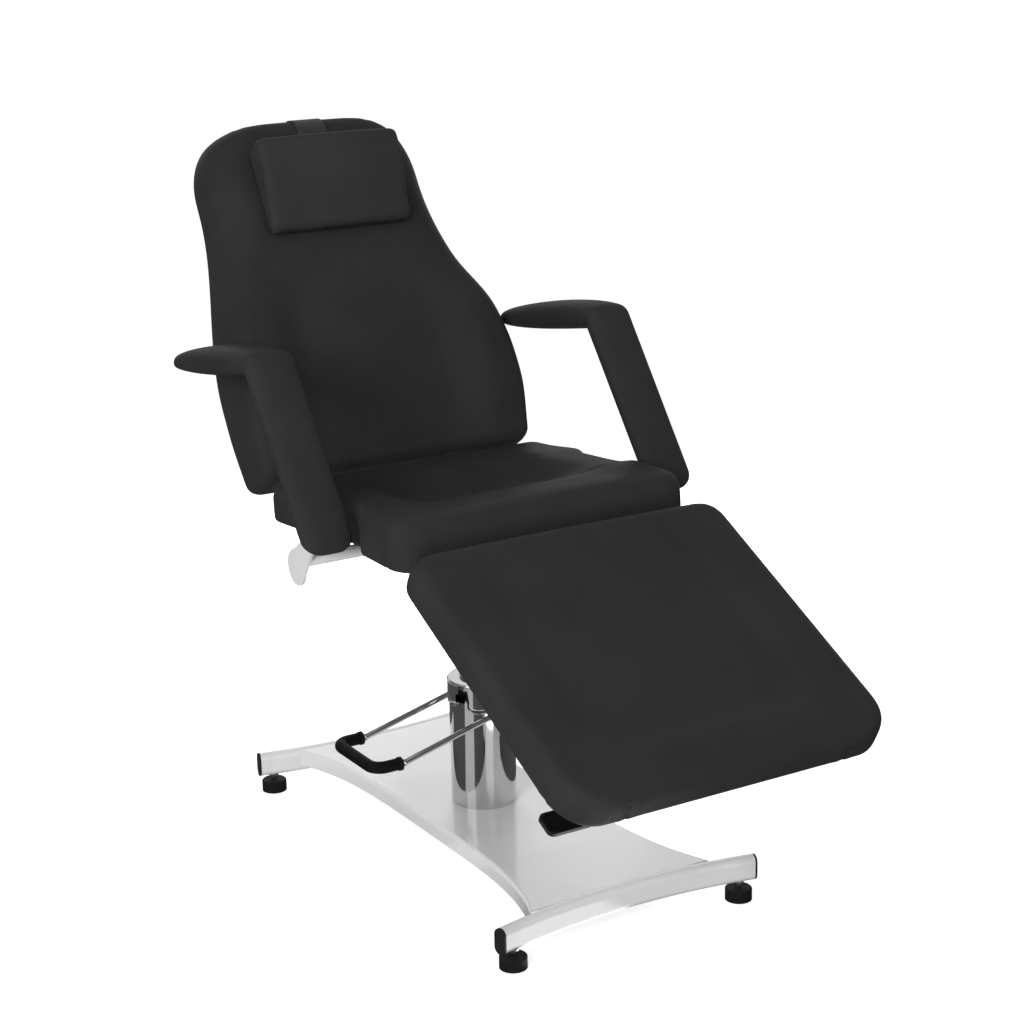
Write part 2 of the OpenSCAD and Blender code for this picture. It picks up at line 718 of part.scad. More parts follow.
// Two crank plates and their pin, seen from the assembly that turns
module crank(pin, foot_a, foot_b, y) {
    offset_y = head_t / 2 + side_gap + crank_t / 2;
    for (s = [-1, 1]) {
        translate([pin[0], 0, pin[1]])
            rod_y(crank_eye_d, y + s * offset_y - crank_t / 2, y + s * offset_y + crank_t / 2);
        plate_y(eye_sides(pin, foot_a, foot_b, crank_eye_d / 2), y + s * offset_y, crank_t);
    }
    translate([pin[0], 0, pin[1]])
        rod_y(crank_pin_d, y - offset_y - crank_t / 2 - cap_edge, y + offset_y + crank_t / 2 + cap_edge);
}

// Seat board and cushion
module board(x0, x1, half0, half1, z0, z1, corner) {
    translate([0, 0, z0]) linear_extrude(z1 - z0) polygon([
        [x0, -half0 + corner], [x0 + corner, -half0], [x1 - corner, -half1], [x1, -half1 + corner],
        [x1, half1 - corner], [x1 - corner, half1], [x0 + corner, half0], [x0, half0 - corner]]);
}
// One ring of a cushion: flat underside, rounded sides and a shaped upper face.
// edge holds the rounding's width and height; h(q) gives the height of the upper face at q,
// from -1 to 1 across.
function cushion_ring(x, w, low, edge, under, h) =
    let(
        e = min(edge[0], w * edge_most),
        top = [for (i = [0:top_steps]) let(q = mix(1, -1, i / top_steps), y = q * (w - e)) [x, y, h(y / w)]],
        side = function(sy) let(z0 = h(sy * (w - e) / w), drop = max(0, min(edge[1], z0 - low - under)))
            [for (i = [1:side_steps]) let(a = 90 * i / side_steps)
                [x, sy * (w - e + e * sin(a)), z0 - drop * (1 - cos(a))]],
        fold = function(sy) [for (i = [1:fold_steps]) let(a = 90 * i / fold_steps)
                [x, sy * (w - under * (1 - cos(a))), low + under * (1 - sin(a))]],
        reversed = function(list) [for (i = [len(list) - 1:-1:0]) list[i]]
    )
    concat(top, side(-1), fold(-1), reversed(fold(1)), reversed(side(1)));

// Stations along a cushion, closer together towards its two ends
function end_steps(r, n) = [for (i = [0:n]) r * (1 - cos(90 * i / n))];
function stations(length, r0, r1, n_end, n_mid) = concat(
    end_steps(r0, n_end),
    [for (i = [1:n_mid]) mix(r0, length - r1, i / (n_mid + 1))],
    [for (i = [n_end:-1:0]) length - end_steps(r1, n_end)[i]]);
// Falls from 1 to 0 along a quarter ellipse within r of an end
function quarter(d, r) = d >= r ? 1 : sqrt(max(0, 1 - pow(1 - d / r, 2)));

// Height of the seat's upper face at a share u of its length and q of its half width.
// The dish lies between two side rolls, and the front edge is a little raised.
seat_side_roll = 7;
seat_front_roll = 6;
roll_from = 0.62;
roll_to = 0.86;
roll_width = 0.3;
dish_width = 0.34;
function seat_face(u, q) =
    let(rim = mix(roll_from, roll_to, u),
        side_roll = seat_side_roll * ease(rim - roll_width, rim, abs(q))
            * ease(0.1, 0.4, u) * (1 - ease(0.7, 0.95, u)),
        dish = seat_dish * (1 - ease(rim - dish_width, rim, abs(q)))
            * ease(0, 0.35, u) * (1 - ease(0.5, 0.78, u)),
        front = seat_front_roll * ease(0.6, 0.8, u) * (1 - ease(0.88, 1.02, u)) * (1 - 0.4 * abs(q)))
    seat_thick + side_roll + front - dish;
seat_edge = 26;
seat_rear_edge = 16;
seat_nose = 42;
seat_corner_rear = 30;
seat_corner_front = 46;
seat_sag = 15;
under_fold = 12;
// The sides are drawn in beside the armrests
notch_depth = 20;
notch_from = 158;
notch_to = 346;
notch_ramp = 50;
notch_step = 14;
function arm_notch(x) = notch_depth * ease(notch_from, notch_from + notch_ramp, x)
    * (1 - ease(notch_to, notch_to + notch_step, x));
seat_stations = concat(end_steps(seat_corner_rear, 4),
    [for (i = [1:3]) mix(seat_corner_rear, notch_from, i / 4)],
    [for (i = [0:3]) notch_from + notch_ramp * i / 3],
    [for (i = [1:3]) mix(notch_from + notch_ramp, notch_to, i / 4)],
    [for (i = [0:3]) notch_to + notch_step * i / 3],
    [for (i = [1:3]) mix(notch_to + notch_step, seat_length - seat_nose, i / 4)],
    [for (i = [4:-1:0]) seat_length - end_steps(seat_nose, 4)[i]]);
module seat_cushion() {
    half = seat_width / 2;
    color(leatherette) in_seat() difference() {
        translate([seat_rear, 0, 0]) skin([for (x = seat_stations)
            let(d0 = x, d1 = seat_length - x,
                w = half - seat_corner_rear * (1 - quarter(d0, seat_corner_rear))
                    - seat_corner_front * (1 - quarter(d1, seat_corner_front)) - arm_notch(x),
                fall = seat_rear_edge * (1 - quarter(d0, seat_rear_edge))
                    + seat_nose * (1 - quarter(d1, seat_nose)),
                lift = under_fold * (2 - quarter(d0, under_fold) - quarter(d1, under_fold))
                    - seat_sag * ease(0.5, 1, x / seat_length))
            cushion_ring(x, w, lift, [seat_edge, seat_edge], under_fold,
                function(q) max(lift + under_fold + side_gap, seat_face(x / seat_length, q) - fall))]);
        seat_board_shape(fitted_gap, -seat_sag - cut_over);
        block([0, -frame_relief, -seat_sag - cut_over], [seat_length, frame_relief, 0]);
    }
}
frame_relief = 200;
module seat_board_shape(grow, low) {
    board(seat_rear + board_inset - grow, seat_front - board_inset + grow,
        seat_width / 2 - board_inset - notch_depth + grow, seat_width / 2 - board_inset - notch_depth + grow,
        low, board_t + grow, board_inset);
}
module seat_board() { color(plywood) in_seat() seat_board_shape(0, 0); }

// Leg rest: cushion with a shallow middle panel, board and frame
leg_edge = 26;
leg_corner_top = 50;
leg_corner_low = 74;
panel_depth = 9;
leg_crown = 3;
function leg_face(u, q) = leg_thick + leg_crown * (1 - q * q)
    - panel_depth * (1 - ease(0.52, 0.72, abs(q))) * ease(0.02, 0.14, u) * (1 - ease(0.74, 0.87, u));
module leg_cushion() {
    half = leg_width / 2;
    color(leatherette) in_leg() difference() {
        translate([leg_start, 0, leg_surface - leg_thick])
            skin([for (x = stations(leg_length, leg_corner_top, leg_corner_low, 5, 11))
                let(d0 = x, d1 = leg_length - x,
                    w = half - leg_corner_top * (1 - quarter(d0, leg_corner_top))
                        - leg_corner_low * (1 - quarter(d1, leg_corner_low)),
                    fall = leg_edge * (2 - quarter(d0, leg_edge) - quarter(d1, leg_edge)),
                    lift = under_fold * (2 - quarter(d0, under_fold) - quarter(d1, under_fold)))
                cushion_ring(x, w, lift, [leg_edge, leg_edge], under_fold,
                    function(q) max(lift + under_fold + side_gap, leg_face(x / leg_length, q) - fall))]);
        leg_board_shape(fitted_gap, cut_over);
        hinge_relief();
    }
}
// Room under the cushion for the hinges at its rear edge
module hinge_relief() {
    half = lug_spread + lug_t / 2 + cap_edge + side_gap;
    both_sides() block([leg_start - cut_over, leg_hinge_y - half, 0],
        [knuckle_d / 2 + cut_over, leg_hinge_y + half, knuckle_d / 2 + lug_t]);
}
module leg_board_shape(grow, over) {
    board(leg_start + board_inset - grow, leg_start + leg_length - board_inset + grow,
        leg_width / 2 - board_inset + grow, leg_width / 2 - board_inset + grow,
        leg_surface - leg_thick - over, leg_surface - leg_thick + board_t + grow, leg_corner_low / 2);
}
module leg_board() {
    color(plywood) in_leg() difference() {
        leg_board_shape(0, 0);
        hinge_relief();
    }
}
leg_tube_top = leg_surface - leg_thick;
leg_cross_a = 45;
module leg_side_tubes() {
    color(enamel) in_leg() both_sides() difference() {
        union() {
            rod_y(knuckle_d, leg_hinge_y - knuckle_w / 2, leg_hinge_y + knuckle_w / 2);
            block([0, leg_hinge_y - knuckle_w / 2, leg_tube_top - tube],
                [leg_frame_length, leg_hinge_y + knuckle_w / 2, leg_tube_top]);
        }
        rod_y(hinge_pin_d + 2 * running_gap, 0, 2 * leg_hinge_y);
    }
}
module leg_cross_tubes() {
    inner = leg_hinge_y - knuckle_w / 2;
    color(enamel) in_leg() for (x = [leg_cross_a, leg_frame_length - tube])
        box_tube([x, -inner, leg_tube_top - tube], [x + tube, inner, leg_tube_top], 1);
}
leg_pin_turn = leg_angle + seat_tilt + leg_mid;
leg_pin = leg_crank_r * [sin(leg_pin_turn), -cos(leg_pin_turn)];
module leg_crank() {
    color(enamel) in_leg() crank(leg_pin, [leg_cross_a, leg_tube_top - tube],
        [leg_cross_a + tube, leg_tube_top - tube], strut_y);
}

// Back: cushion with side wings and a narrower head, board, frame and crank
back_edge_low = 24;
back_edge_top = 42;
head_edge_w = 80;
head_edge_h = 84;
back_corner_low = 26;
head_corner_w = 92;
head_corner_l = 128;
back_foot_narrowing = 6;
back_foot_length = 120;
head_lead = 40;
function back_half(s) =
    let(taper = ease(head_start, head_end, s + head_lead * (1 - clamp01(s / head_start))))
    mix(back_width, head_width, taper) / 2 - back_foot_narrowing * (1 - ease(0, back_foot_length, s))
        - back_corner_low * (1 - quarter(s, back_corner_low))
        - head_corner_w * (1 - quarter(back_length - s, head_corner_l));
function back_edge(s) = let(t = ease(head_start, head_end, s))
    [mix(back_edge_low, head_edge_w, t), mix(back_edge_low, head_edge_h, t)];
// Height of the front face over the rear face at s along the back and q of its half width
lumbar_rise = 6;
head_rise = 5;
function back_face(s, q) =
    let(u = s / back_length,
        wing = wing_rise * ease(0.45, 0.8, abs(q)) * ease(-0.05, 0.2, u) * (1 - ease(0.38, 0.58, u)),
        lumbar = lumbar_rise * ease(0.02, 0.2, u) * (1 - ease(0.3, 0.5, u)) * (1 - q * q),
        head = head_rise * ease(0.62, 0.8, u) * (1 - q * q))
    back_thick + wing + lumbar + head;
module back_cushion() {
    color(leatherette) in_back() difference() {
        rotate([0, 0, 180]) translate([-back_depth + back_thick, 0, back_start]) rotate([0, -90, 0])
            skin([for (s = stations(back_length, back_corner_low, head_corner_l, 5, 13))
                let(d0 = s, d1 = back_length - s,
                    fall = back_edge_low * (1 - quarter(d0, back_edge_low))
                        + back_edge_top * (1 - quarter(d1, back_edge_top)),
                    lift = under_fold * (2 - quarter(d0, under_fold) - quarter(d1, under_fold)))
                cushion_ring(s, back_half(s), lift, back_edge(s), under_fold,
                    function(q) max(lift + under_fold + side_gap, back_face(s, q) - fall))]);
        back_board_shape(fitted_gap, cut_over);
    }
}
back_board_inset = 7;
module back_board_shape(grow, over) {
    rear = back_depth - back_thick;
    half_low = back_width / 2 - board_inset - back_board_inset + grow;
    half_high = head_width / 2 - board_inset + grow;
    from = back_start + board_inset - grow;
    to = back_start + back_length - board_inset + grow;
    translate([rear - over, 0, 0]) rotate([90, 0, 90]) linear_extrude(board_t + over + grow) polygon([
        [-half_low, from], [half_low, from], [half_low, back_start + head_start],
        [half_high, back_start + head_end - board_inset * 3], [half_high, to - head_corner_l],
        [half_high - head_corner_w, to], [-half_high + head_corner_w, to], [-half_high, to - head_corner_l],
        [-half_high, back_start + head_end - board_inset * 3], [-half_low, back_start + head_start]]);
}
module back_board() { color(plywood) in_back() back_board_shape(0, 0); }
back_rear = back_depth - back_thick;
back_cross_low = -12;
module back_uprights() {
    color(enamel) in_back() both_sides() {
        box_tube([back_rear - tube, back_hinge_y - tube / 2, back_cross_low],
            [back_rear, back_hinge_y + tube / 2, upright_length], 2);
        difference() {
            union() {
                rod_y(knuckle_d, back_hinge_y - knuckle_w / 2, back_hinge_y + knuckle_w / 2);
                block([back_rear, back_hinge_y - lug_t, back_cross_low],
                    [0, back_hinge_y + lug_t, -back_cross_low]);
            }
            rod_y(hinge_pin_d + 2 * running_gap, 0, 2 * back_hinge_y);
        }
    }
}
module back_cross_tubes() {
    inner = back_hinge_y - tube / 2;
    color(enamel) in_back() for (s = [back_cross_low, upright_length - 2 * tube])
        box_tube([back_rear - tube, -inner, s], [back_rear, inner, s + tube], 1);
}
back_pin_turn = 90 - back_angle - seat_tilt - back_mid;
back_pin = back_crank_r * [-sin(back_pin_turn), -cos(back_pin_turn)];
module back_crank() {
    color(enamel) in_back() crank(back_pin, [back_rear - tube, back_cross_low],
        [back_rear, back_cross_low], -strut_y);
}

// Head cushion and its elastic strap over the top of the back
pillow_edge = 15;
pillow_taper = 0.42;
pillow_low = back_start + pillow_top - pillow_height;
pillow_crown_share = 0.1;
strap_seat = 5;
function pillow_face(u, q) = mix(pillow_thick * pillow_taper, pillow_thick, ease(0, 0.8, u))
    * (1 - pillow_crown_share * q * q);
module head_pillow() {
    color(leatherette) in_back() rotate([0, 0, 180])
        translate([-back_depth - strap_seat - strap_t - 2 * strap_gap, 0, pillow_low - back_start])
        rotate([0, -90, 0]) skin([for (s = stations(pillow_height, pillow_edge, pillow_edge, 3, 5))
            let(d0 = s, d1 = pillow_height - s,
                fall = pillow_edge * (2 - quarter(d0, pillow_edge) - quarter(d1, pillow_edge)))
            cushion_ring(s, pillow_width / 2 - fall / 2, fall / 4, [pillow_edge, pillow_edge], pillow_edge / 3,
                function(q)
                    max(fall / 4 + pillow_edge / 3 + side_gap, pillow_face(s / pillow_height, q) - fall))]);
}
module pillow_strap() {
    front = back_depth + strap_seat + strap_gap;
    rear = back_rear - strap_gap - strap_t;
    top = back_start + back_length + strap_gap;
    r = back_edge_top;
    path = concat(
        [[front, pillow_low + pillow_slide]],
        [for (a = [0:7.5:90]) [front - r + r * cos(a), top - r + r * sin(a)]],
        [for (a = [90:22.5:180]) [rear + strap_t + under_fold + under_fold * cos(a),
            top - under_fold + under_fold * sin(a)]],
        [[rear + strap_t, top - strap_back_drop]]);
    color(rubber) in_back() skin([for (i = [0:len(path) - 1])
        let(a = path[max(0, i - 1)], b = path[min(len(path) - 1, i + 1)],
            u = (b - a) / norm(b - a), out = [u[1], -u[0]] * strap_t, p = path[i])
        [[p[0], -strap_w / 2, p[1]], [p[0], strap_w / 2, p[1]],
            [p[0] + out[0], strap_w / 2, p[1] + out[1]], [p[0] + out[0], -strap_w / 2, p[1] + out[1]]]]);
}

// Release levers: a bracket with a pin, and a moulded paddle with a raised rim
module paddle() {
    neck = paddle_w / 3;
    difference() {
        union() {
            rod_x(paddle_pin_d * 2, -neck, neck);
            block([-neck, -paddle_arm, -paddle_pin_d], [neck, 0, -paddle_pin_d + paddle_t]);
            translate([0, -paddle_arm, -paddle_pin_d]) linear_extrude(paddle_t + paddle_rim) paddle_outline(0);
        }
        rod_x(paddle_pin_d + 2 * running_gap, -paddle_w, paddle_w);
        translate([0, -paddle_arm, paddle_t - paddle_pin_d])
            linear_extrude(paddle_rim + cut_over) paddle_outline(paddle_rim);
    }
}
module paddle_outline(inset) {
    r = paddle_w / 4;
    w = paddle_w / 2 - inset;
    polygon(concat([[-w, -inset], [w, -inset]],
        [for (a = [0:-15:-90]) [w - r + r * cos(a), -paddle_l + inset + r + r * sin(a)]],
        [for (a = [-90:-15:-180]) [-w + r + r * cos(a), -paddle_l + inset + r + r * sin(a)]]));
}
module paddle_bracket(top) {
    reach = paddle_w / 3 + side_gap;
    for (s = [-1, 1]) translate([s * (reach + lug_t / 2), 0, 0]) {
        rod_x(paddle_pin_d * 2, -lug_t / 2, lug_t / 2);
        block([-lug_t / 2, -paddle_pin_d, 0], [lug_t / 2, paddle_pin_d, top]);
    }
    block([-reach - lug_t, -paddle_pin_d, top - lug_t], [reach + lug_t, paddle_pin_d, top]);
    rod_x(paddle_pin_d, -reach - lug_t, reach + lug_t);
}
leg_paddle_y = leg_hinge_y + knuckle_w / 2 + paddle_pin_d + side_gap;
module at_leg_paddle() {
    in_leg() translate([paddle_at, -leg_paddle_y, leg_tube_top - paddle_drop]) children();
}
module leg_release_bracket() { color(enamel) at_leg_paddle() paddle_bracket(paddle_drop); }
module leg_release_paddle() { color(rubber) at_leg_paddle() paddle(); }
back_paddle_y = back_hinge_y - paddle_w;
module at_back_paddle() {
    in_back() translate([back_rear - paddle_drop, back_paddle_y, back_cross_low + tube / 2])
        rotate([0, 90, 0]) rotate([0, 0, 180]) children();
}
module back_release_bracket() { color(enamel) at_back_paddle() paddle_bracket(paddle_drop - tube); }
module back_release_paddle() { color(rubber) at_back_paddle() paddle(); }

// Armrests. The points are measured from the fold axis at the rest position: an outer line that arches
// from the tip to the corner and runs down to the foot, and an inner line along the underside.
arm_tip = [-466, 274];
arm_tip_rise = [0, 28];
arm_arch = [-195, 355];
arm_corner = [-107, 349];
arm_under = [-328, 267];
arm_crook = [-125, 304];
arm_foot_out = [116, 41];
arm_foot_in = [81, 30];
arm_corner_r = 14;
arm_foot_r = 32;
arm_tip_r = 64;
arm_tip_least = 2;
arm_end_least = 0.5;
arm_roundness = 0.75;
arm_fore_steps = 13;
arm_corner_steps = 4;
arm_limb_steps = 4;
arm_end_steps = 5;
arm_sides = 16;
function unit(v) = v / norm(v);
function bezier(a, b, c, t) = mix(mix(a, b, t), mix(b, c, t), t);
function curve(a, b, c, d, t) = mix(bezier(a, b, c, t), bezier(b, c, d, t), t);
arm_top_end = arm_corner - unit(arm_corner - arm_arch) * arm_corner_r;
arm_limb_start = arm_corner + unit(arm_foot_out - arm_corner) * arm_corner_r;
arm_foot = (arm_foot_out + arm_foot_in) / 2;
arm_down = unit(arm_foot - (arm_limb_start + arm_crook) / 2);
arm_limb = norm(arm_foot - (arm_limb_start + arm_crook) / 2);
arm_end_share = 1 - arm_foot_r / arm_limb;
// Shares of the lower limb at its rings, closer together at the rounded foot
arm_limb_shares = concat([for (i = [1:arm_limb_steps]) arm_end_share * i / arm_limb_steps],
    [for (i = [1:arm_end_steps]) mix(arm_end_share, 1, sin(90 * i / arm_end_steps))]);
// Pairs of points on the outer and the inner line, one pair for each ring of the pad
arm_pairs = concat(
    [for (i = [0:arm_fore_steps]) let(t = pow(i / arm_fore_steps, 1.4))
        [curve(arm_tip, arm_tip + arm_tip_rise, arm_arch, arm_top_end, t),
            curve(arm_tip, arm_tip - arm_tip_rise, arm_under, arm_crook, t)]],
    [for (i = [1:arm_corner_steps])
        [bezier(arm_top_end, arm_corner, arm_limb_start, i / arm_corner_steps), arm_crook]],
    [for (t = arm_limb_shares) [mix(arm_limb_start, arm_foot_out, t), mix(arm_crook, arm_foot_in, t)]]);
module arm_skin() {
    skin([for (pair = arm_pairs)
        let(p = (pair[0] + pair[1]) / 2, rise = (pair[0] - pair[1]) / 2,
            d0 = norm(p - arm_tip), d1 = norm(arm_foot - p),
            cut = arm_foot_r * (1 - quarter(d1, arm_foot_r)),
            thick = max(norm(rise) - cut, arm_end_least),
            across = max(arm_width / 2 * quarter(max(d0, arm_tip_least), arm_tip_r) - cut, arm_end_least),
            v = norm(rise) > 0 ? unit(rise) : [0, 1])
        [for (k = [0:arm_sides - 1])
            let(a = 360 * k / arm_sides, h = thick * sgn_pow(sin(a), arm_roundness))
            [p[0] + v[0] * h, across * sgn_pow(cos(a), arm_roundness), p[1] + v[1] * h]]]);
}
arm_tongue_up = 60;
arm_tongue_length = 170;
arm_tongue_start = arm_foot - arm_down * arm_tongue_up;
arm_tongue_end = arm_tongue_start - arm_down * arm_tongue_length;
arm_plate_low = [-36, -22];
// Outline of the flat steel core: a wide lower end, and a tongue inside the pad
function arm_core(grow) =
    let(u = unit(arm_tongue_start - arm_plate_low), v = [-u[1], u[0]], t = -arm_down, n = [-t[1], t[0]],
        w = arm_plate_w / 2 * arm_plate_side_share + grow, q = arm_tongue_w / 2 + grow,
        tip = arm_tongue_end + t * grow)
    [arm_plate_low - v * w, arm_tongue_start - n * q, tip - n * q, tip + n * q,
        arm_tongue_start + n * q, arm_plate_low + v * w];
module arm_bracket(side) {
    color(enamel) in_arm(side) {
        plate_y(arm_core(0), 0, arm_plate_t);
        translate([arm_plate_low[0], 0, arm_plate_low[1]])
            rod_y(arm_plate_w, -arm_plate_t / 2, arm_plate_t / 2);
        scale([1, -side, 1]) {
            rod_y(arm_bar_d, 0, arm_y - rail_y - rail_w / 2 - side_gap);
            rod_y(arm_spigot_d, 0, arm_y - rail_y + rail_w / 2 + lug_t);
        }
    }
}
module arm_pad(side) {
    color(leatherette) in_arm(side) difference() {
        arm_skin();
        plate_y(arm_core(fitted_gap), 0, arm_plate_t + 2 * fitted_gap);
    }
}
module right_arm_bracket() { arm_bracket(-1); }
module right_arm_pad() { arm_pad(-1); }
module left_arm_bracket() { arm_bracket(1); }
module left_arm_pad() { arm_pad(1); }

foot_bar_front();
foot_bar_rear();
bar_end_caps();
foot_pads();
foot_studs();
base_plate();
pump_flange();
pump_bolts();
pump_cylinder();
valve_block();
column_cover();
pump_cap();
pedal_pivots();
pedal_fork();
pedal_grip();
pump_plunger();
ram_bush();
lift_ram();
seat_hub();
hub_bolts();
seat_rails();
seat_cross_tubes();
back_hinge_lugs();
leg_hinge_lugs();
seat_board();
seat_cushion();
strut_mounts();
back_strut_cylinder();
leg_strut_cylinder();
back_strut_rod();
leg_strut_rod();
back_uprights();
back_cross_tubes();
back_crank();
back_board();
back_cushion();
pillow_strap();
head_pillow();
back_release_bracket();
back_release_paddle();
leg_side_tubes();
leg_cross_tubes();
leg_crank();
leg_board();
leg_cushion();
leg_release_bracket();
leg_release_paddle();
right_arm_bracket();
right_arm_pad();
left_arm_bracket();
left_arm_pad();
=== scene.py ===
import bpy
import bmesh
import json
import math
import numpy as np
from mathutils import Matrix, Vector


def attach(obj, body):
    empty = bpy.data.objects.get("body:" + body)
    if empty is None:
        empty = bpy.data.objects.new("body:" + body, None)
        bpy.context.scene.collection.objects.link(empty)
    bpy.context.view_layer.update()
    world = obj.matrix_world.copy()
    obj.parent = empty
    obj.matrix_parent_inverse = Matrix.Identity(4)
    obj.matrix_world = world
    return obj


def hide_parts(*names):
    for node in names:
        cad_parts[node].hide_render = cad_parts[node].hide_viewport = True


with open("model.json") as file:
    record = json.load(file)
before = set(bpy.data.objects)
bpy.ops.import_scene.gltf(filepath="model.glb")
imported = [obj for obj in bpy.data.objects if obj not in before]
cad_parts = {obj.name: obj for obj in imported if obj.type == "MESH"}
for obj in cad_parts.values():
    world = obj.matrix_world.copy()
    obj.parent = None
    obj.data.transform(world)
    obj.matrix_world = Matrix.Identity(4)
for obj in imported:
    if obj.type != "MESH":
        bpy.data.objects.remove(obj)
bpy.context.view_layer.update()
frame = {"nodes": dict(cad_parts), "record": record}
NODES = frame["nodes"]

# Sizes shared with the solids, in metres and degrees. Edge, nose and corner are roundings: the first two
# of a cushion's top, seen from the side, and the last of its outline, seen from above.
SEAT_TILT = 4.4
SEAT_HEIGHT = 0.626
SEAT = dict(rear=-0.284, length=0.505, width=0.590, thick=0.070, dish=0.026, edge=0.026, nose=0.042,
            rear_edge=0.016, corner_rear=0.030, corner_front=0.046, sag=0.015)
NOTCH = dict(depth=0.020, start=0.158, end=0.346, ramp=0.050, step=0.014)
LEG_PIVOT = (0.241, -0.025)
LEG_ANGLE = 27.5
LEG = dict(start=-0.014, length=0.580, width=0.630, thick=0.062, surface=0.065, edge=0.026,
           corner_top=0.050, corner_low=0.074, panel=0.009)
BACK_PIVOT = (-0.309, 0.023)
BACK_ANGLE = 60
BACK = dict(depth=0.036, start=0.037, length=0.715, width=0.588, head=0.468, thick=0.108, wing=0.034,
            head_start=0.170, head_end=0.570, edge_low=0.024, edge_top=0.042, head_edge=(0.080, 0.084),
            corner_low=0.026, head_corner=(0.092, 0.128))
PILLOW = dict(width=0.300, height=0.178, thick=0.066, top=0.686, edge=0.015, taper=0.42, seat=0.0072)
STRAP = dict(width=0.062, thick=0.0016, seat=0.0053, drop=0.230, slide=0.030)
ARM_PIVOT = (-0.019, -0.0165)
ARM_Y = 0.353
# Lines of an armrest, as level x and z from its pivot, and the points round each of its rings
ARM = dict(tip=(-0.466, 0.274), rise=0.028, arch=(-0.195, 0.355), corner=(-0.107, 0.349),
           under=(-0.328, 0.267), crook=(-0.125, 0.304), foot_out=(0.116, 0.041), foot_in=(0.081, 0.030),
           corner_r=0.014, foot_r=0.032, tip_r=0.064, width=0.094, power=0.75)
ARM_AROUND = 40

# Rounding below a cushion's side, thickness of the board that closes it, and how far in the board's edge is
UNDER = 0.012
BOARD = 0.012
BOARD_INSET = 0.016
# Half width of the steel frame under the seat, on which its cushion lies flat
FRAME_HALF = 0.2
# Least height of a cushion's side, and least half thickness of an armrest
THINNEST = 0.0005
# Steps across a ring's top, round its upper edge, down its side and round its lower fold
COUNT = (34, 7, 3, 4)
PILLOW_COUNT = (26, 6, 3, 3)
SWELL_FRAMES = 14

# Distance from the nearest seam that stands for no seam, and the form of a stitched one: how far into the
# cushion it reaches, how it fades past its ends, its cleft, and the low ridge on each side of the cleft
NO_SEAM = 0.1
DART = dict(reach=0.03, fade=0.012, depth=0.0016, width=0.004,
            ridge=0.0007, ridge_from=0.010, ridge_width=0.006)
# Places and heights of the stitched seams
SEAMS = dict(seat_from_front=0.062, seat_heights=(-0.02, 0.040), leg_from_corner=0.03,
             leg_heights=(-0.005, 0.034), back_across=0.135, back_heights=(0.0, 0.085))
STITCHES_PER_METRE = 210.0
STITCH_ROW = 0.0042
# The strap's weave, in radians per metre across and along it
RIBS = 3600.0
PICKS = 4200.0

# The photograph's camera: angles in degrees, focal length and width in pixels, sensor in millimetres
CAMERA = dict(azimuth=58.597, pitch=16.03, roll=-0.999, place=(3.353, -1.992, 1.760),
              focal=2258.826, width=1024, sensor=36)
# Each lamp's place, aim, size and watts
LAMPS = dict(key=((2.1, -3.1, 2.0), (0.1, 0, 0.5), (1.4, 1.4), 84),
             low_back=((-2.1, 1.1, 0.95), (0, 0, 0.05), (1.6, 0.8), 42),
             rim=((-3.2, 1.4, 2.8), (0, 0, 0.8), (1.4, 2.4), 3))
# Tall strip lights that only reflections show, round the column: direction and half width in degrees, and
# brightness in reflections that point down and in those that point up
STRIPS = ((-76.0, 16.0, 0.45, 1.2), (-9.0, 13.0, 2.6, 1.2))
COLUMN_X = -0.028


def ease(a, b, v):
    """0 up to a, 1 from b on, and smooth between."""
    t = min(1.0, max(0.0, (v - a) / (b - a)))
    return t * t * (3 - 2 * t)


def mix(a, b, t):
    return a + (b - a) * t


def quarter(d, r):
    """Height of a quarter circle of radius r, as a share of r, at the distance d from its foot."""
    return 1.0 if d >= r else math.sqrt(max(0.0, 1 - (1 - d / r) ** 2))


def turn_y(degrees):
    return Matrix.Rotation(math.radians(degrees), 4, "Y")


def shift(x, y, z):
    return Matrix.Translation((x, y, z))


# The frames of the seat, the back and the leg rest, as they are at rest
IN_SEAT = shift(0, 0, SEAT_HEIGHT) @ turn_y(-SEAT_TILT)
IN_BACK = IN_SEAT @ shift(BACK_PIVOT[0], 0, BACK_PIVOT[1]) @ turn_y(BACK_ANGLE - 90 + SEAT_TILT)
IN_LEG = IN_SEAT @ shift(LEG_PIVOT[0], 0, LEG_PIVOT[1]) @ turn_y(LEG_ANGLE + SEAT_TILT)
# A cushion of the back is made lying down: x along the back, z out of its front face
LYING = (Matrix.Rotation(math.pi, 4, "Z")
         @ shift(-BACK["depth"] + BACK["thick"], 0, BACK["start"]) @ turn_y(-90))
IN_BACK_LYING = IN_BACK @ LYING


class Wires:
    """Helpers for one node tree; every method that makes a node returns an output socket."""

    def __init__(self, tree):
        self.tree = tree

    def add(self, kind, **settings):
        node = self.tree.nodes.new(kind)
        for key, value in settings.items():
            setattr(node, key, value)
        return node

    def link(self, value, socket):
        """Links an output to the socket, or sets the socket to a plain value."""
        if isinstance(value, bpy.types.NodeSocket):
            self.tree.links.new(value, socket)
        else:
            socket.default_value = value

    def math(self, operation, a, b=0.0, c=0.0):
        node = self.add("ShaderNodeMath", operation=operation)
        for socket, value in zip(node.inputs, (a, b, c)):
            self.link(value, socket)
        return node.outputs[0]

    def range(self, value, low, high, to_low, to_high):
        """to_low up to low, to_high from high on, and smooth between."""
        node = self.add("ShaderNodeMapRange", interpolation_type="SMOOTHSTEP")
        self.link(value, node.inputs["Value"])
        for key, number in zip(("From Min", "From Max", "To Min", "To Max"), (low, high, to_low, to_high)):
            node.inputs[key].default_value = number
        return node.outputs["Result"]


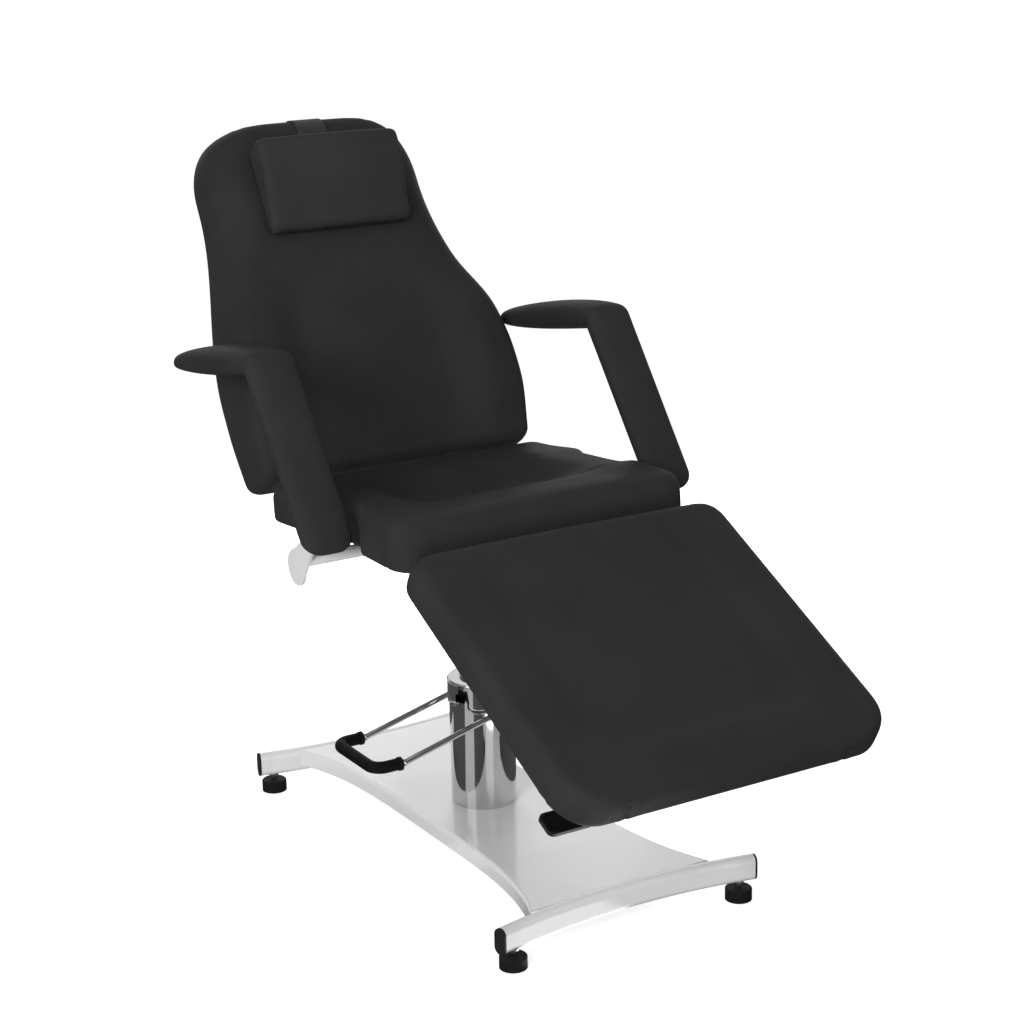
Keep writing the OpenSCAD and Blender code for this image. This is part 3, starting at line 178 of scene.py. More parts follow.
class Nodes(Wires):
    """Builds one node material."""

    def __init__(self, name):
        self.material = bpy.data.materials.new(name)
        self.material.use_nodes = True
        super().__init__(self.material.node_tree)
        self.shader = self.tree.nodes["Principled BSDF"]
        self.place = self.add("ShaderNodeTexCoord").outputs["Object"]

    def set(self, **values):
        """Gives the shader's inputs their values; an underscore stands for a space."""
        for key, value in values.items():
            self.link(value, self.shader.inputs[key.replace("_", " ")])

    def noise(self, scale, detail, rough=0.5, vector=None):
        node = self.add("ShaderNodeTexNoise")
        self.link(vector or self.place, node.inputs["Vector"])
        for key, value in (("Scale", scale), ("Detail", detail), ("Roughness", rough)):
            node.inputs[key].default_value = value
        return node.outputs["Fac"]

    def cells(self, scale, feature="F1"):
        node = self.add("ShaderNodeTexVoronoi", feature=feature)
        self.link(self.place, node.inputs["Vector"])
        node.inputs["Scale"].default_value = scale
        return node.outputs["Distance"]

    def blend(self, factor, a, b):
        node = self.add("ShaderNodeMix", data_type="RGBA")
        self.link(factor, node.inputs[0])
        for socket, value in ((node.inputs[6], a), (node.inputs[7], b)):
            if isinstance(value, bpy.types.NodeSocket):
                self.tree.links.new(value, socket)
            else:
                socket.default_value = (*value, 1)
        return node.outputs[2]

    def attribute(self, name):
        return self.add("ShaderNodeAttribute", attribute_name=name).outputs["Fac"]

    def stretched(self, x, y, z):
        """The object's coordinates, scaled so that a noise is drawn out along the small ones."""
        node = self.add("ShaderNodeMapping")
        self.link(self.place, node.inputs["Vector"])
        node.inputs["Scale"].default_value = (x, y, z)
        return node.outputs[0]

    def bump(self, height, strength, distance, over=None):
        node = self.add("ShaderNodeBump")
        self.link(height, node.inputs["Height"])
        node.inputs["Strength"].default_value = strength
        node.inputs["Distance"].default_value = distance
        if over is not None:
            self.link(over, node.inputs["Normal"])
        return node.outputs[0]

    def edge_wear(self):
        """1 on sharp outer edges, 0 elsewhere."""
        return self.range(self.add("ShaderNodeNewGeometry").outputs["Pointiness"], 0.505, 0.56, 0, 1)


def leatherette(name, tone):
    """Pebbled and creased, with painted shade in the hollows between the pebbles, and a cleft, painted dark
    as shade, and a row of stitches on each side of it along the seams.
    """
    m = Nodes(name)
    broad = m.noise(7, 3)
    fine = m.noise(260, 2)
    pebble = m.cells(950)
    creases = m.cells(420, feature="DISTANCE_TO_EDGE")
    greys = ((0.0310, 0.0311, 0.0314), (0.0370, 0.0371, 0.0374), (0.0172, 0.0172, 0.0175))
    dark, pale, hollow_shade = ([tone * c for c in grey] for grey in greys)
    base = m.blend(m.range(broad, 0.3, 0.7, 0, 1), dark, pale)
    # Painted shade: the hollows between the pebbles are darkened, following the same cells as the bump
    base = m.blend(m.range(pebble, 0.15, 0.75, 0, 0.35), base, hollow_shade)
    rough = m.math("MULTIPLY_ADD", fine, 0.5, m.math("MULTIPLY", broad, 0.5))
    shallow = m.math("MULTIPLY", m.math("MINIMUM", creases, 0.12), 3.0)
    grain = m.math("ADD", m.math("MULTIPLY", pebble, -0.7), shallow)
    normal = m.bump(grain, 0.16, 0.00035)
    normal = m.bump(m.noise(46, 3), 0.12, 0.0016, over=normal)
    away = m.math("ABSOLUTE", m.attribute("seam"))
    cleft = m.range(away, 0.0, 0.0016, 1, 0)
    stitch = m.math("FRACT", m.math("MULTIPLY", m.attribute("run"), STITCHES_PER_METRE))
    dash = m.range(m.math("ABSOLUTE", m.math("SUBTRACT", stitch, 0.5)), 0.30, 0.40, 1, 0)
    row = m.range(m.math("ABSOLUTE", m.math("SUBTRACT", away, STITCH_ROW)), 0.0003, 0.0008, 1, 0)
    thread = m.math("MULTIPLY", dash, row)
    # Painted shade: the seam's cleft is darkened nearly to black, on top of its bump
    base = m.blend(m.math("MULTIPLY", cleft, 0.85), base, (0.004, 0.004, 0.004))
    base = m.blend(m.math("MULTIPLY", thread, 0.8), base, (0.03, 0.03, 0.032))
    height = m.math("SUBTRACT", m.math("MULTIPLY", thread, 0.5), cleft)
    normal = m.bump(height, 0.9, 0.0011, over=normal)
    m.set(Base_Color=base, Roughness=m.range(rough, 0.3, 0.7, 0.46, 0.58), Normal=normal,
          Specular_IOR_Level=0.06)
    return m.material


def enamel():
    m = Nodes("white_enamel")
    cloud = m.noise(3.2, 4)
    base = m.blend(m.range(cloud, 0.35, 0.7, 0, 1), (0.87, 0.872, 0.87), (0.815, 0.818, 0.816))
    scuffs = m.noise(30, 6, 0.7, vector=m.stretched(1, 6, 3))
    base = m.blend(m.range(scuffs, 0.66, 0.76, 0, 0.12), base, (0.50, 0.50, 0.49))
    base = m.blend(m.math("MULTIPLY", m.edge_wear(), 0.2), base, (0.55, 0.55, 0.55))
    peel = m.noise(330, 2)
    m.set(Base_Color=base, Roughness=m.range(m.noise(18, 3), 0.3, 0.7, 0.16, 0.26),
          Normal=m.bump(peel, 0.10, 0.0004), Coat_Weight=0.7, Coat_Roughness=0.03)
    return m.material


def chrome():
    m = Nodes("polished_chrome")
    smear = m.noise(9, 4, 0.6, vector=m.stretched(1, 1, 0.35))
    hairline = m.noise(160, 2, vector=m.stretched(1, 1, 9))
    rough = m.math("ADD", m.range(smear, 0.35, 0.75, 0.05, 0.11), m.range(hairline, 0.4, 0.8, 0.0, 0.03))
    base = m.blend(m.range(smear, 0.3, 0.8, 0, 1), (0.68, 0.688, 0.70), (0.59, 0.598, 0.61))
    m.set(Base_Color=base, Metallic=1.0, Roughness=rough, Normal=m.bump(hairline, 0.02, 0.0002))
    return m.material


def bare_steel():
    m = Nodes("machined_steel")
    rings = m.noise(420, 3, vector=m.stretched(0.2, 0.2, 4))
    base = m.blend(m.range(m.noise(14, 4), 0.3, 0.7, 0, 1), (0.42, 0.43, 0.45), (0.32, 0.33, 0.345))
    m.set(Base_Color=base, Metallic=1.0, Roughness=m.range(rings, 0.3, 0.7, 0.3, 0.5),
          Normal=m.bump(rings, 0.15, 0.0003))
    return m.material


def black_rubber():
    m = Nodes("black_rubber")
    speckle = m.noise(700, 2)
    bloom = m.noise(11, 4)
    base = m.blend(m.range(bloom, 0.45, 0.75, 0, 0.7), (0.0035, 0.0035, 0.0038), (0.008, 0.008, 0.0083))
    base = m.blend(m.math("MULTIPLY", m.edge_wear(), 0.35), base, (0.025, 0.025, 0.025))
    m.set(Base_Color=base, Roughness=m.range(speckle, 0.3, 0.7, 0.5, 0.72),
          Normal=m.bump(speckle, 0.25, 0.0004), Specular_IOR_Level=0.15)
    return m.material


def black_plastic():
    m = Nodes("black_moulded_plastic")
    texture = m.noise(1100, 2)
    base = m.blend(m.range(m.noise(16, 3), 0.4, 0.7, 0, 1), (0.0035, 0.0035, 0.0038), (0.007, 0.007, 0.0073))
    base = m.blend(m.math("MULTIPLY", m.edge_wear(), 0.5), base, (0.03, 0.03, 0.031))
    m.set(Base_Color=base, Roughness=m.range(texture, 0.3, 0.7, 0.3, 0.42),
          Normal=m.bump(texture, 0.12, 0.0003), Specular_IOR_Level=0.2)
    return m.material


def plywood():
    """Dark-stained, since the photograph shows no warm wood in the chrome."""
    m = Nodes("bare_plywood")
    grain = m.noise(30, 6, 0.6, vector=m.stretched(0.6, 7, 7))
    pores = m.noise(240, 3, vector=m.stretched(0.15, 3, 3))
    base = m.blend(m.range(grain, 0.35, 0.68, 0, 1), (0.190, 0.160, 0.125), (0.125, 0.100, 0.076))
    base = m.blend(m.range(pores, 0.58, 0.7, 0, 0.6), base, (0.055, 0.043, 0.033))
    m.set(Base_Color=base, Roughness=m.range(grain, 0.3, 0.7, 0.6, 0.75), Normal=m.bump(pores, 0.25, 0.0004))
    return m.material


def black_paint():
    m = Nodes("black_painted_steel")
    peel = m.noise(260, 2)
    base = m.blend(m.range(m.noise(20, 4), 0.5, 0.75, 0, 0.6), (0.014, 0.014, 0.015), (0.03, 0.03, 0.032))
    m.set(Base_Color=base, Roughness=m.range(peel, 0.3, 0.7, 0.28, 0.38),
          Normal=m.bump(peel, 0.1, 0.0003))
    return m.material


def woven_elastic():
    m = Nodes("woven_elastic")
    along, across = m.attribute("run"), m.attribute("seam")
    ribs = m.math("SINE", m.math("MULTIPLY", across, RIBS))
    picks = m.math("SINE", m.math("MULTIPLY", along, PICKS))
    weave = m.math("ADD", m.math("MULTIPLY", ribs, 0.7), m.math("MULTIPLY", picks, 0.3))
    base = m.blend(m.range(weave, -0.8, 0.8, 0, 1), (0.018, 0.018, 0.019), (0.040, 0.040, 0.041))
    base = m.blend(m.range(m.noise(60, 4), 0.5, 0.8, 0, 0.4), base, (0.055, 0.055, 0.055))
    m.set(Base_Color=base, Roughness=0.85, Normal=m.bump(weave, 0.35, 0.0004), Sheen_Weight=0.12)
    return m.material


MATERIALS = {
    "enamel": enamel(), "chrome": chrome(), "steel": bare_steel(),
    "leatherette": leatherette("charcoal_leatherette", tone=1.0),
    # A lighter copy of the same leatherette, with light painted into its colour, for the head cushion
    "painted_lit_leatherette": leatherette("painted_lit_charcoal_leatherette", tone=1.2),
    "strap_elastic": woven_elastic(), "rubber": black_rubber(), "black_plastic": black_plastic(),
    "plywood": plywood(), "black_paint": black_paint(),
}


def dress_frame():
    """Gives every carried-over solid the finish of its material slot."""
    for part in frame["record"]["subparts"]:
        solid = NODES[part["node"]]
        finish = MATERIALS[part["material_slot"]]
        if not solid.material_slots:
            solid.data.materials.append(finish)
        for place in solid.material_slots:
            place.link = "OBJECT"
            place.material = finish


def new_piece(name, points, faces, place=None):
    """A smooth-shaded object at the origin, whose points the matrix place puts where they belong."""
    mesh = bpy.data.meshes.new(name)
    mesh.from_pydata([tuple(p) for p in points], [], [tuple(f) for f in faces])
    if place is not None:
        mesh.transform(place)
    mesh.validate()
    piece = bpy.data.objects.new(name, mesh)
    bpy.context.collection.objects.link(piece)
    for polygon in mesh.polygons:
        polygon.use_smooth = True
    return piece


def read(mesh, kind="co"):
    """The mesh's points, or its normals where kind is normal, as rows of x, y and z."""
    found = np.empty(len(mesh.vertices) * 3)
    mesh.vertices.foreach_get(kind, found)
    return found.reshape(-1, 3)


def put_points(piece, points):
    piece.data.vertices.foreach_set("co", np.ascontiguousarray(points, dtype=np.float64).ravel())
    piece.data.update()


def store(piece, name, values):
    attribute = piece.data.attributes.new(name, "FLOAT", "POINT")
    attribute.data.foreach_set("value", np.asarray(values, dtype=np.float32))


def no_seams(piece):
    """For a cover without stitched seams, because the leatherette reads both values."""
    count = len(piece.data.vertices)
    store(piece, "seam", np.full(count, NO_SEAM))
    store(piece, "run", np.zeros(count))


def face_outward(piece):
    mesh = bmesh.new()
    mesh.from_mesh(piece.data)
    bmesh.ops.recalc_face_normals(mesh, faces=mesh.faces)
    mesh.to_mesh(piece.data)
    mesh.free()


def subdivide(piece):
    """Makes the mesh one step finer and smoother."""
    finer = piece.modifiers.new("finer", "SUBSURF")
    finer.levels = finer.render_levels = 1
    graph = bpy.context.evaluated_depsgraph_get()
    made = bpy.data.meshes.new_from_object(piece.evaluated_get(graph), depsgraph=graph)
    piece.modifiers.clear()
    old = piece.data
    piece.data = made
    bpy.data.meshes.remove(old)
    for polygon in piece.data.polygons:
        polygon.use_smooth = True


def ring_sides(x, w, low, edge, under, face, fall, count):
    """One ring as four edges: top, right side, bottom and left side, each from the ring's left to its right
    or from its top to its bottom. Its half width is w, its top is fall below face, and low is its bottom."""
    top_n, side_n, wall_n, fold_n = count

    def height(q):
        return max(low + under + THINNEST, face(q) - fall)

    e = min(edge[0], w * 0.9)
    top = []
    for i in range(top_n + 1):
        y = mix(1, -1, i / top_n) * (w - e)
        top.append((x, y, height(y / w)))

    def side(sign):
        z0 = height(sign * (w - e) / w)
        drop = max(0.0, min(edge[1], z0 - low - under))
        found = [(x, sign * (w - e), z0)]
        for i in range(1, side_n + 1):
            a = math.pi / 2 * i / side_n
            found.append((x, sign * (w - e + e * math.sin(a)), z0 - drop * (1 - math.cos(a))))
        for i in range(1, wall_n):
            found.append((x, sign * w, mix(z0 - drop, low + under, i / wall_n)))
        for i in range(fold_n + 1):
            a = math.pi / 2 * i / fold_n
            found.append((x, sign * (w - under * (1 - math.cos(a))), low + under * (1 - math.sin(a))))
        return found

    right, left = side(-1), side(1)
    inner = w - under
    bottom = [(x, mix(inner, -inner, i / top_n), low) for i in range(top_n + 1)]
    return top, right, bottom, left


def ring_points(sides):
    top, right, bottom, left = sides
    return top + right[1:-1] + bottom[::-1] + left[1:-1][::-1]


def end_grid(sides):
    """Inner points of a closed end, spread between the ring's four edges."""
    top, right, bottom, left = sides
    columns, rows = len(top) - 1, len(right) - 1
    grid = {}
    for i in range(1, columns):
        for j in range(1, rows):
            u, v = i / columns, j / rows
            point = []
            for k in range(3):
                edges = mix(top[i][k], bottom[i][k], v) + mix(left[j][k], right[j][k], u)
                corners = mix(mix(top[0][k], top[-1][k], u), mix(bottom[0][k], bottom[-1][k], u), v)
                point.append(edges - corners)
            grid[i, j] = tuple(point)
    return grid


def loft(name, rings, place):
    """A closed quad mesh through the rings, with a gridded face at both ends."""
    points, faces = [], []
    for sides in rings:
        points += ring_points(sides)
    n = len(ring_points(rings[0]))
    for j in range(len(rings) - 1):
        for i in range(n):
            a, b = j * n + i, j * n + (i + 1) % n
            faces.append((a, b, b + n, a + n))
    columns, rows = len(rings[0][0]) - 1, len(rings[0][1]) - 1
    for last in (False, True):
        base = (len(rings) - 1) * n if last else 0
        inner = end_grid(rings[-1] if last else rings[0])
        number = {}
        for i in range(columns + 1):
            number[i, 0] = base + i
            number[i, rows] = base + columns + rows + (columns - i)
        for j in range(1, rows):
            number[columns, j] = base + columns + j
            number[0, j] = base + n - j
        for key in sorted(inner):
            number[key] = len(points)
            points.append(inner[key])
        for i in range(columns):
            for j in range(rows):
                face = (number[i, j], number[i, j + 1], number[i + 1, j + 1], number[i + 1, j])
                faces.append(face[::-1] if last else face)
    piece = new_piece(name, points, faces, place)
    face_outward(piece)
    return piece


def end_steps(r, n):
    """Places along a rounded end of radius r, closer together near its tip."""
    return [r * (1 - math.cos(math.pi / 2 * i / n)) for i in range(n + 1)]


def stations(length, r0, r1, n_end, n_mid):
    """Places of the rings along a cushion whose ends are rounded by r0 and r1."""
    first, last = end_steps(r0, n_end), end_steps(r1, n_end)
    middle = [mix(r0, length - r1, i / (n_mid + 1)) for i in range(1, n_mid + 1)]
    return first + middle + [length - v for v in reversed(last)]


def swell(piece, held, pressure, cap):
    """Cloth under pressure, with the held points fixed; no point moves further than cap."""
    rest = read(piece.data)
    group = piece.vertex_groups.new(name="held")
    group.add([int(i) for i in np.nonzero(held)[0]], 1.0, "REPLACE")
    cloth = piece.modifiers.new("swell", "CLOTH")
    s = cloth.settings
    s.quality = 5
    s.mass = 0.3
    s.tension_stiffness = s.compression_stiffness = s.shear_stiffness = 20.0
    s.bending_stiffness = 4.0
    s.vertex_group_mass = "held"
    s.use_pressure = True
    s.uniform_pressure_force = pressure
    s.effector_weights.gravity = 0
    cloth.collision_settings.use_collision = False
    cloth.collision_settings.use_self_collision = False
    scene = bpy.context.scene
    for number in range(1, SWELL_FRAMES + 1):
        scene.frame_set(number)
    graph = bpy.context.evaluated_depsgraph_get()
    move = read(piece.evaluated_get(graph).to_mesh()) - rest
    piece.evaluated_get(graph).to_mesh_clear()
    piece.modifiers.clear()
    piece.vertex_groups.clear()
    scene.frame_set(1)
    far = np.linalg.norm(move, axis=1)
    scale = np.minimum(1.0, cap / np.maximum(far, 1e-9))
    put_points(piece, rest + move * scale[:, None])


def transformed(points, place):
    matrix = np.array(place)
    return points @ matrix[:3, :3].T + matrix[:3, 3]


def local(piece, place):
    """The piece's points in the frame that it was made in."""
    return transformed(read(piece.data), place.inverted())


def darts(piece, place, seams):
    """Short stitched seams that stand on a cushion's side. Each is a plan point, the direction along the
    side, and the heights between which it runs. They pinch the cover and mark it for the stitching."""
    p = local(piece, place)
    d = DART
    seam = np.full(len(p), NO_SEAM)
    run = np.zeros(len(p))
    sink = np.zeros(len(p))
    for (x, y), (tx, ty), (z0, z1) in seams:
        length = math.hypot(tx, ty)
        along = ((p[:, 0] - x) * tx + (p[:, 1] - y) * ty) / length
        depth = np.abs((p[:, 0] - x) * ty - (p[:, 1] - y) * tx) / length
        beyond = np.maximum(0, np.maximum(z0 - p[:, 2], p[:, 2] - z1))
        near = (depth < d["reach"]) & (beyond < d["fade"])
        away = np.hypot(along, beyond * 1.5)
        better = near & (away < np.abs(seam))
        seam[better] = away[better]
        run[better] = p[better, 2]
        cleft = d["depth"] * np.exp(-(along / d["width"]) ** 2)
        ridge = d["ridge"] * np.exp(-((np.abs(along) - d["ridge_from"]) / d["ridge_width"]) ** 2)
        sink += np.clip(1 - beyond / d["fade"], 0, 1) * near * (cleft - ridge)
    put_points(piece, read(piece.data) - read(piece.data, "normal") * sink[:, None])
    store(piece, "seam", seam)
    store(piece, "run", run)


def finish_soft(piece, body, nodes, cover="leatherette"):
    """Gives a padded cover its material and its body, and hides the solids it replaces. The record has one
    leatherette for both materials.
    """
    piece.data.materials.clear()
    piece.data.materials.append(MATERIALS[cover])
    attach(piece, body)
    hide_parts(*nodes)


def seat_face(u, q):
    """Height of the seat's top: u is 0 at the rear and 1 at the front, and q is -1 to 1 across."""
    rim = mix(0.62, 0.86, u)
    roll = 0.007 * ease(rim - 0.3, rim, abs(q)) * ease(0.1, 0.4, u) * (1 - ease(0.7, 0.95, u))
    dish = SEAT["dish"] * (1 - ease(rim - 0.34, rim, abs(q))) * ease(0, 0.35, u) * (1 - ease(0.5, 0.78, u))
    front = 0.006 * ease(0.6, 0.8, u) * (1 - ease(0.88, 1.02, u)) * (1 - 0.4 * abs(q))
    return SEAT["thick"] + roll + front - dish


def seat_notch(x):
    """How far the seat's side is drawn in for the armrest's foot."""
    n = NOTCH
    drawn = n["depth"] * ease(n["start"], n["start"] + n["ramp"], x)
    return drawn * (1 - ease(n["end"], n["end"] + n["step"], x))


def seat_cushion():
    s = SEAT
    n = NOTCH
    xs = end_steps(s["corner_rear"], 7)
    xs += [mix(s["corner_rear"], n["start"], i / 7) for i in range(1, 7)]
    xs += [n["start"] + n["ramp"] * i / 6 for i in range(7)]
    xs += [mix(n["start"] + n["ramp"], n["end"], i / 7) for i in range(1, 7)]
    xs += [n["end"] + n["step"] * i / 5 for i in range(6)]
    xs += [mix(n["end"] + n["step"], s["length"] - s["nose"], i / 6) for i in range(1, 6)]
    xs += [s["length"] - v for v in reversed(end_steps(s["nose"], 8))]
    rings = []
    for x in xs:
        d1 = s["length"] - x
        w = (s["width"] / 2 - s["corner_rear"] * (1 - quarter(x, s["corner_rear"]))
             - s["corner_front"] * (1 - quarter(d1, s["corner_front"])) - seat_notch(x))
        fall = s["rear_edge"] * (1 - quarter(x, s["rear_edge"])) + s["nose"] * (1 - quarter(d1, s["nose"]))
        low = UNDER * (2 - quarter(x, UNDER) - quarter(d1, UNDER)) - s["sag"] * ease(0.5, 1, x / s["length"])
        rings.append(ring_sides(x, w, low, (s["edge"], s["edge"]), UNDER,
                                lambda q: seat_face(x / s["length"], q), fall, COUNT))
    place = IN_SEAT @ shift(s["rear"], 0, 0)
    piece = loft("seat_cushion_cover", rings, place)
    shape_cushion(piece, place, s["length"], lambda x: s["width"] / 2 - BOARD_INSET - n["depth"],
                  corner=BOARD_INSET, frame_half=FRAME_HALF)
    front, half = s["length"] - SEAMS["seat_from_front"], s["width"] / 2
    darts(piece, place, [((front, y), (1, 0), SEAMS["seat_heights"]) for y in (-half, half)])
    finish_soft(piece, "seat", ["seat_cushion"])


def shape_cushion(piece, place, length, board_half, corner=0.0, frame_half=0.0):
    """Swells the cover a little and makes it finer. Then its underside goes flat onto the frame, and into
    the board that closes it, so that the board is what is seen from below."""
    p = local(piece, place)
    swell(piece, held=p[:, 2] < UNDER * 1.1, pressure=1.6, cap=0.004)
    subdivide(piece)
    p = local(piece, place)
    over_frame = (np.abs(p[:, 1]) < frame_half) & (p[:, 2] < 0)
    p[over_frame, 2] *= 0.02
    for i, (x, y, z) in enumerate(p):
        if z > BOARD / 2:
            continue
        along, across = min(x, length - x) - BOARD_INSET, board_half(x) - abs(y)
        past_corner = (along < corner and across < corner
                       and math.hypot(corner - along, corner - across) > corner)
        if along > 0 and across > 0 and not past_corner:
            p[i, 2] = BOARD / 2
    put_points(piece, transformed(p, place))


def leg_face(u, q):
    """Height of the leg cushion's top, with a shallow panel and a soft groove round it."""
    panel = LEG["panel"] * (1 - ease(0.52, 0.72, abs(q))) * ease(0.02, 0.14, u) * (1 - ease(0.74, 0.87, u))
    side = (1 - ease(0.0, 0.13, abs(abs(q) - 0.63))) * (1 - ease(0.74, 0.84, u))
    foot = (1 - ease(0.0, 0.075, abs(u - 0.80))) * (1 - ease(0.52, 0.66, abs(q)))
    groove = 0.0075 * ease(0.04, 0.2, u) * max(side, foot)
    return LEG["thick"] + 0.003 * (1 - q * q) - panel - groove


def leg_cushion():
    g = LEG
    rings = []
    for x in stations(g["length"], g["corner_top"], g["corner_low"], 9, 26):
        d1 = g["length"] - x
        w = (g["width"] / 2 - g["corner_top"] * (1 - quarter(x, g["corner_top"]))
             - g["corner_low"] * (1 - quarter(d1, g["corner_low"])))
        fall = g["edge"] * (2 - quarter(x, g["edge"]) - quarter(d1, g["edge"]))
        low = UNDER * (2 - quarter(x, UNDER) - quarter(d1, UNDER))
        rings.append(ring_sides(x, w, low, (g["edge"], g["edge"]), UNDER,
                                lambda q: leg_face(x / g["length"], q), fall, COUNT))
    place = IN_LEG @ shift(g["start"], 0, g["surface"] - g["thick"])
    piece = loft("leg_cushion_cover", rings, place)
    shape_cushion(piece, place, g["length"], lambda x: g["width"] / 2 - BOARD_INSET,
                  corner=g["corner_low"] / 2)
    low_x, half = g["length"] - g["corner_low"] - 0.004, g["width"] / 2
    inner = half - g["corner_low"] - SEAMS["leg_from_corner"]
    seams = [((low_x, y), (1, 0), SEAMS["leg_heights"]) for y in (-half, half)]
    seams += [((g["length"], y), (0, 1), SEAMS["leg_heights"]) for y in (-inner, inner)]
    darts(piece, place, seams)
    finish_soft(piece, "leg", ["leg_cushion"])


def back_half(s):
    """Half width of the back cushion at s, from its lower edge up."""
    b = BACK
    reach = s + 0.040 * (1 - min(1.0, max(0.0, s / b["head_start"])))
    return (mix(b["width"], b["head"], ease(b["head_start"], b["head_end"], reach)) / 2
            - 0.006 * (1 - ease(0, 0.120, s)) - b["corner_low"] * (1 - quarter(s, b["corner_low"]))
            - b["head_corner"][0] * (1 - quarter(b["length"] - s, b["head_corner"][1])))


def back_board_half(s):
    """Half width of the board behind it, whose top corners are cut off straight."""
    b = BACK
    low, high = b["width"] / 2 - BOARD_INSET - 0.007, b["head"] / 2 - BOARD_INSET
    slope = min(1.0, max(0.0, (s - b["head_start"]) / (b["head_end"] - 3 * BOARD_INSET - b["head_start"])))
    cut = max(0.0, s - b["length"] + BOARD_INSET + b["head_corner"][1]) / b["head_corner"][1]
    return mix(low, high, slope) - b["head_corner"][0] * cut


def back_face(s, q):
    """Height of the back cushion's front, with its wings, and fuller at the loins and the head."""
    b = BACK
    u = s / b["length"]
    wing = b["wing"] * ease(0.45, 0.8, abs(q)) * ease(-0.05, 0.2, u) * (1 - ease(0.38, 0.58, u))
    lumbar = 0.006 * ease(0.02, 0.2, u) * (1 - ease(0.3, 0.5, u)) * (1 - q * q)
    head = 0.005 * ease(0.62, 0.8, u) * (1 - q * q)
    return b["thick"] + wing + lumbar + head


def back_cushion():
    b = BACK
    rings = []
    for s in stations(b["length"], b["corner_low"], b["head_corner"][1], 10, 26):
        d1 = b["length"] - s
        t = ease(b["head_start"], b["head_end"], s)
        edge = (mix(b["edge_low"], b["head_edge"][0], t), mix(b["edge_low"], b["head_edge"][1], t))
        fall = (b["edge_low"] * (1 - quarter(s, b["edge_low"]))
                + b["edge_top"] * (1 - quarter(d1, b["edge_top"])))
        low = UNDER * (2 - quarter(s, UNDER) - quarter(d1, UNDER))
        rings.append(ring_sides(s, back_half(s), low, edge, UNDER,
                                lambda q: back_face(s, q), fall, COUNT))
    piece = loft("back_cushion_cover", rings, IN_BACK_LYING)
    shape_cushion(piece, IN_BACK_LYING, b["length"], back_board_half)
    darts(piece, IN_BACK_LYING, [((b["length"] - 0.002, y), (0, 1), SEAMS["back_heights"])
                                 for y in (SEAMS["back_across"], -SEAMS["back_across"])])
    finish_soft(piece, "back", ["back_cushion"])


def pillow_face(u, q):
    """Height of the head cushion's front, thinner towards its lower edge."""
    return mix(PILLOW["thick"] * PILLOW["taper"], PILLOW["thick"], ease(0, 0.8, u)) * (1 - 0.1 * q * q)


def head_cushion():
    c = PILLOW
    rings = []
    for s in stations(c["height"], c["edge"], c["edge"], 7, 14):
        fall = c["edge"] * (2 - quarter(s, c["edge"]) - quarter(c["height"] - s, c["edge"]))
        low, under = fall / 4, c["edge"] / 3
        rings.append(ring_sides(s, c["width"] / 2 - fall / 2, low, (c["edge"], c["edge"]), under,
                                lambda q: pillow_face(s / c["height"], q), fall, PILLOW_COUNT))
    place = (IN_BACK @ Matrix.Rotation(math.pi, 4, "Z")
             @ shift(-BACK["depth"] - c["seat"], 0, c["top"] - c["height"]) @ turn_y(-90))
    piece = loft("head_cushion_cover", rings, place)
    p = local(piece, place)
    swell(piece, held=p[:, 2] < 0.004, pressure=1.2, cap=0.003)
    subdivide(piece)
    no_seams(piece)
    # The head cushion's cover is the lighter copy of the leatherette: painted light on its face
    finish_soft(piece, "head", ["head_pillow"], cover="painted_lit_leatherette")


def head_strap():
    """The elastic band runs from under the head cushion over the top and down the rear of the board."""
    t = STRAP["thick"]
    front = BACK["depth"] + STRAP["seat"]
    rear = BACK["depth"] - BACK["thick"] - 0.0003 - t
    top = BACK["start"] + BACK["length"] + 0.0003
    r = BACK["edge_top"]
    low = BACK["start"] + PILLOW["top"] - PILLOW["height"] + STRAP["slide"]
    # Its inner line as x and z of the back: up the front, over the top's two roundings and down the rear
    path = [(front, low + (top - r - low) * i / 20) for i in range(20)]
    path += [(front - r + r * math.cos(a), top - r + r * math.sin(a))
             for a in np.linspace(0, math.pi / 2, 14)]
    path += [(rear + t + UNDER + UNDER * math.cos(a), top - UNDER + UNDER * math.sin(a))
             for a in np.linspace(math.pi / 2, math.pi, 8)]
    path += [(rear + t, top - UNDER - (STRAP["drop"] - UNDER) * i / 16) for i in range(1, 17)]
    columns = 12
    points, faces, run, across = [], [], [], []
    length = 0.0
    for i, p in enumerate(path):
        a, b = path[max(0, i - 1)], path[min(len(path) - 1, i + 1)]
        d = Vector((b[0] - a[0], b[1] - a[1])).normalized()
        out = Vector((d[1], -d[0]))
        if i:
            length += math.dist(path[i - 1], p)
        for layer in (0, 1):
            for j in range(columns + 1):
                y = STRAP["width"] * (j / columns - 0.5)
                points.append((p[0] + out[0] * t * layer, y, p[1] + out[1] * t * layer))
                run.append(length)
                across.append(y)
    n = 2 * (columns + 1)
    loop = list(range(columns + 1)) + list(range(n - 1, columns, -1))
    for i in range(len(path) - 1):
        for k in range(n):
            a, b = loop[k], loop[(k + 1) % n]
            faces.append((i * n + a, i * n + b, (i + 1) * n + b, (i + 1) * n + a))
    for i, flip in ((0, False), (len(path) - 1, True)):
        for j in range(columns):
            face = [i * n + j, i * n + j + 1, i * n + columns + 2 + j, i * n + columns + 1 + j]
            faces.append(face[::-1] if flip else face)
    piece = new_piece("head_strap_band", points, faces, IN_BACK)
    store(piece, "seam", across)
    store(piece, "run", run)
    face_outward(piece)
    piece.data.materials.append(MATERIALS["strap_elastic"])
    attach(piece, "back")
    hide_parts("pillow_strap")


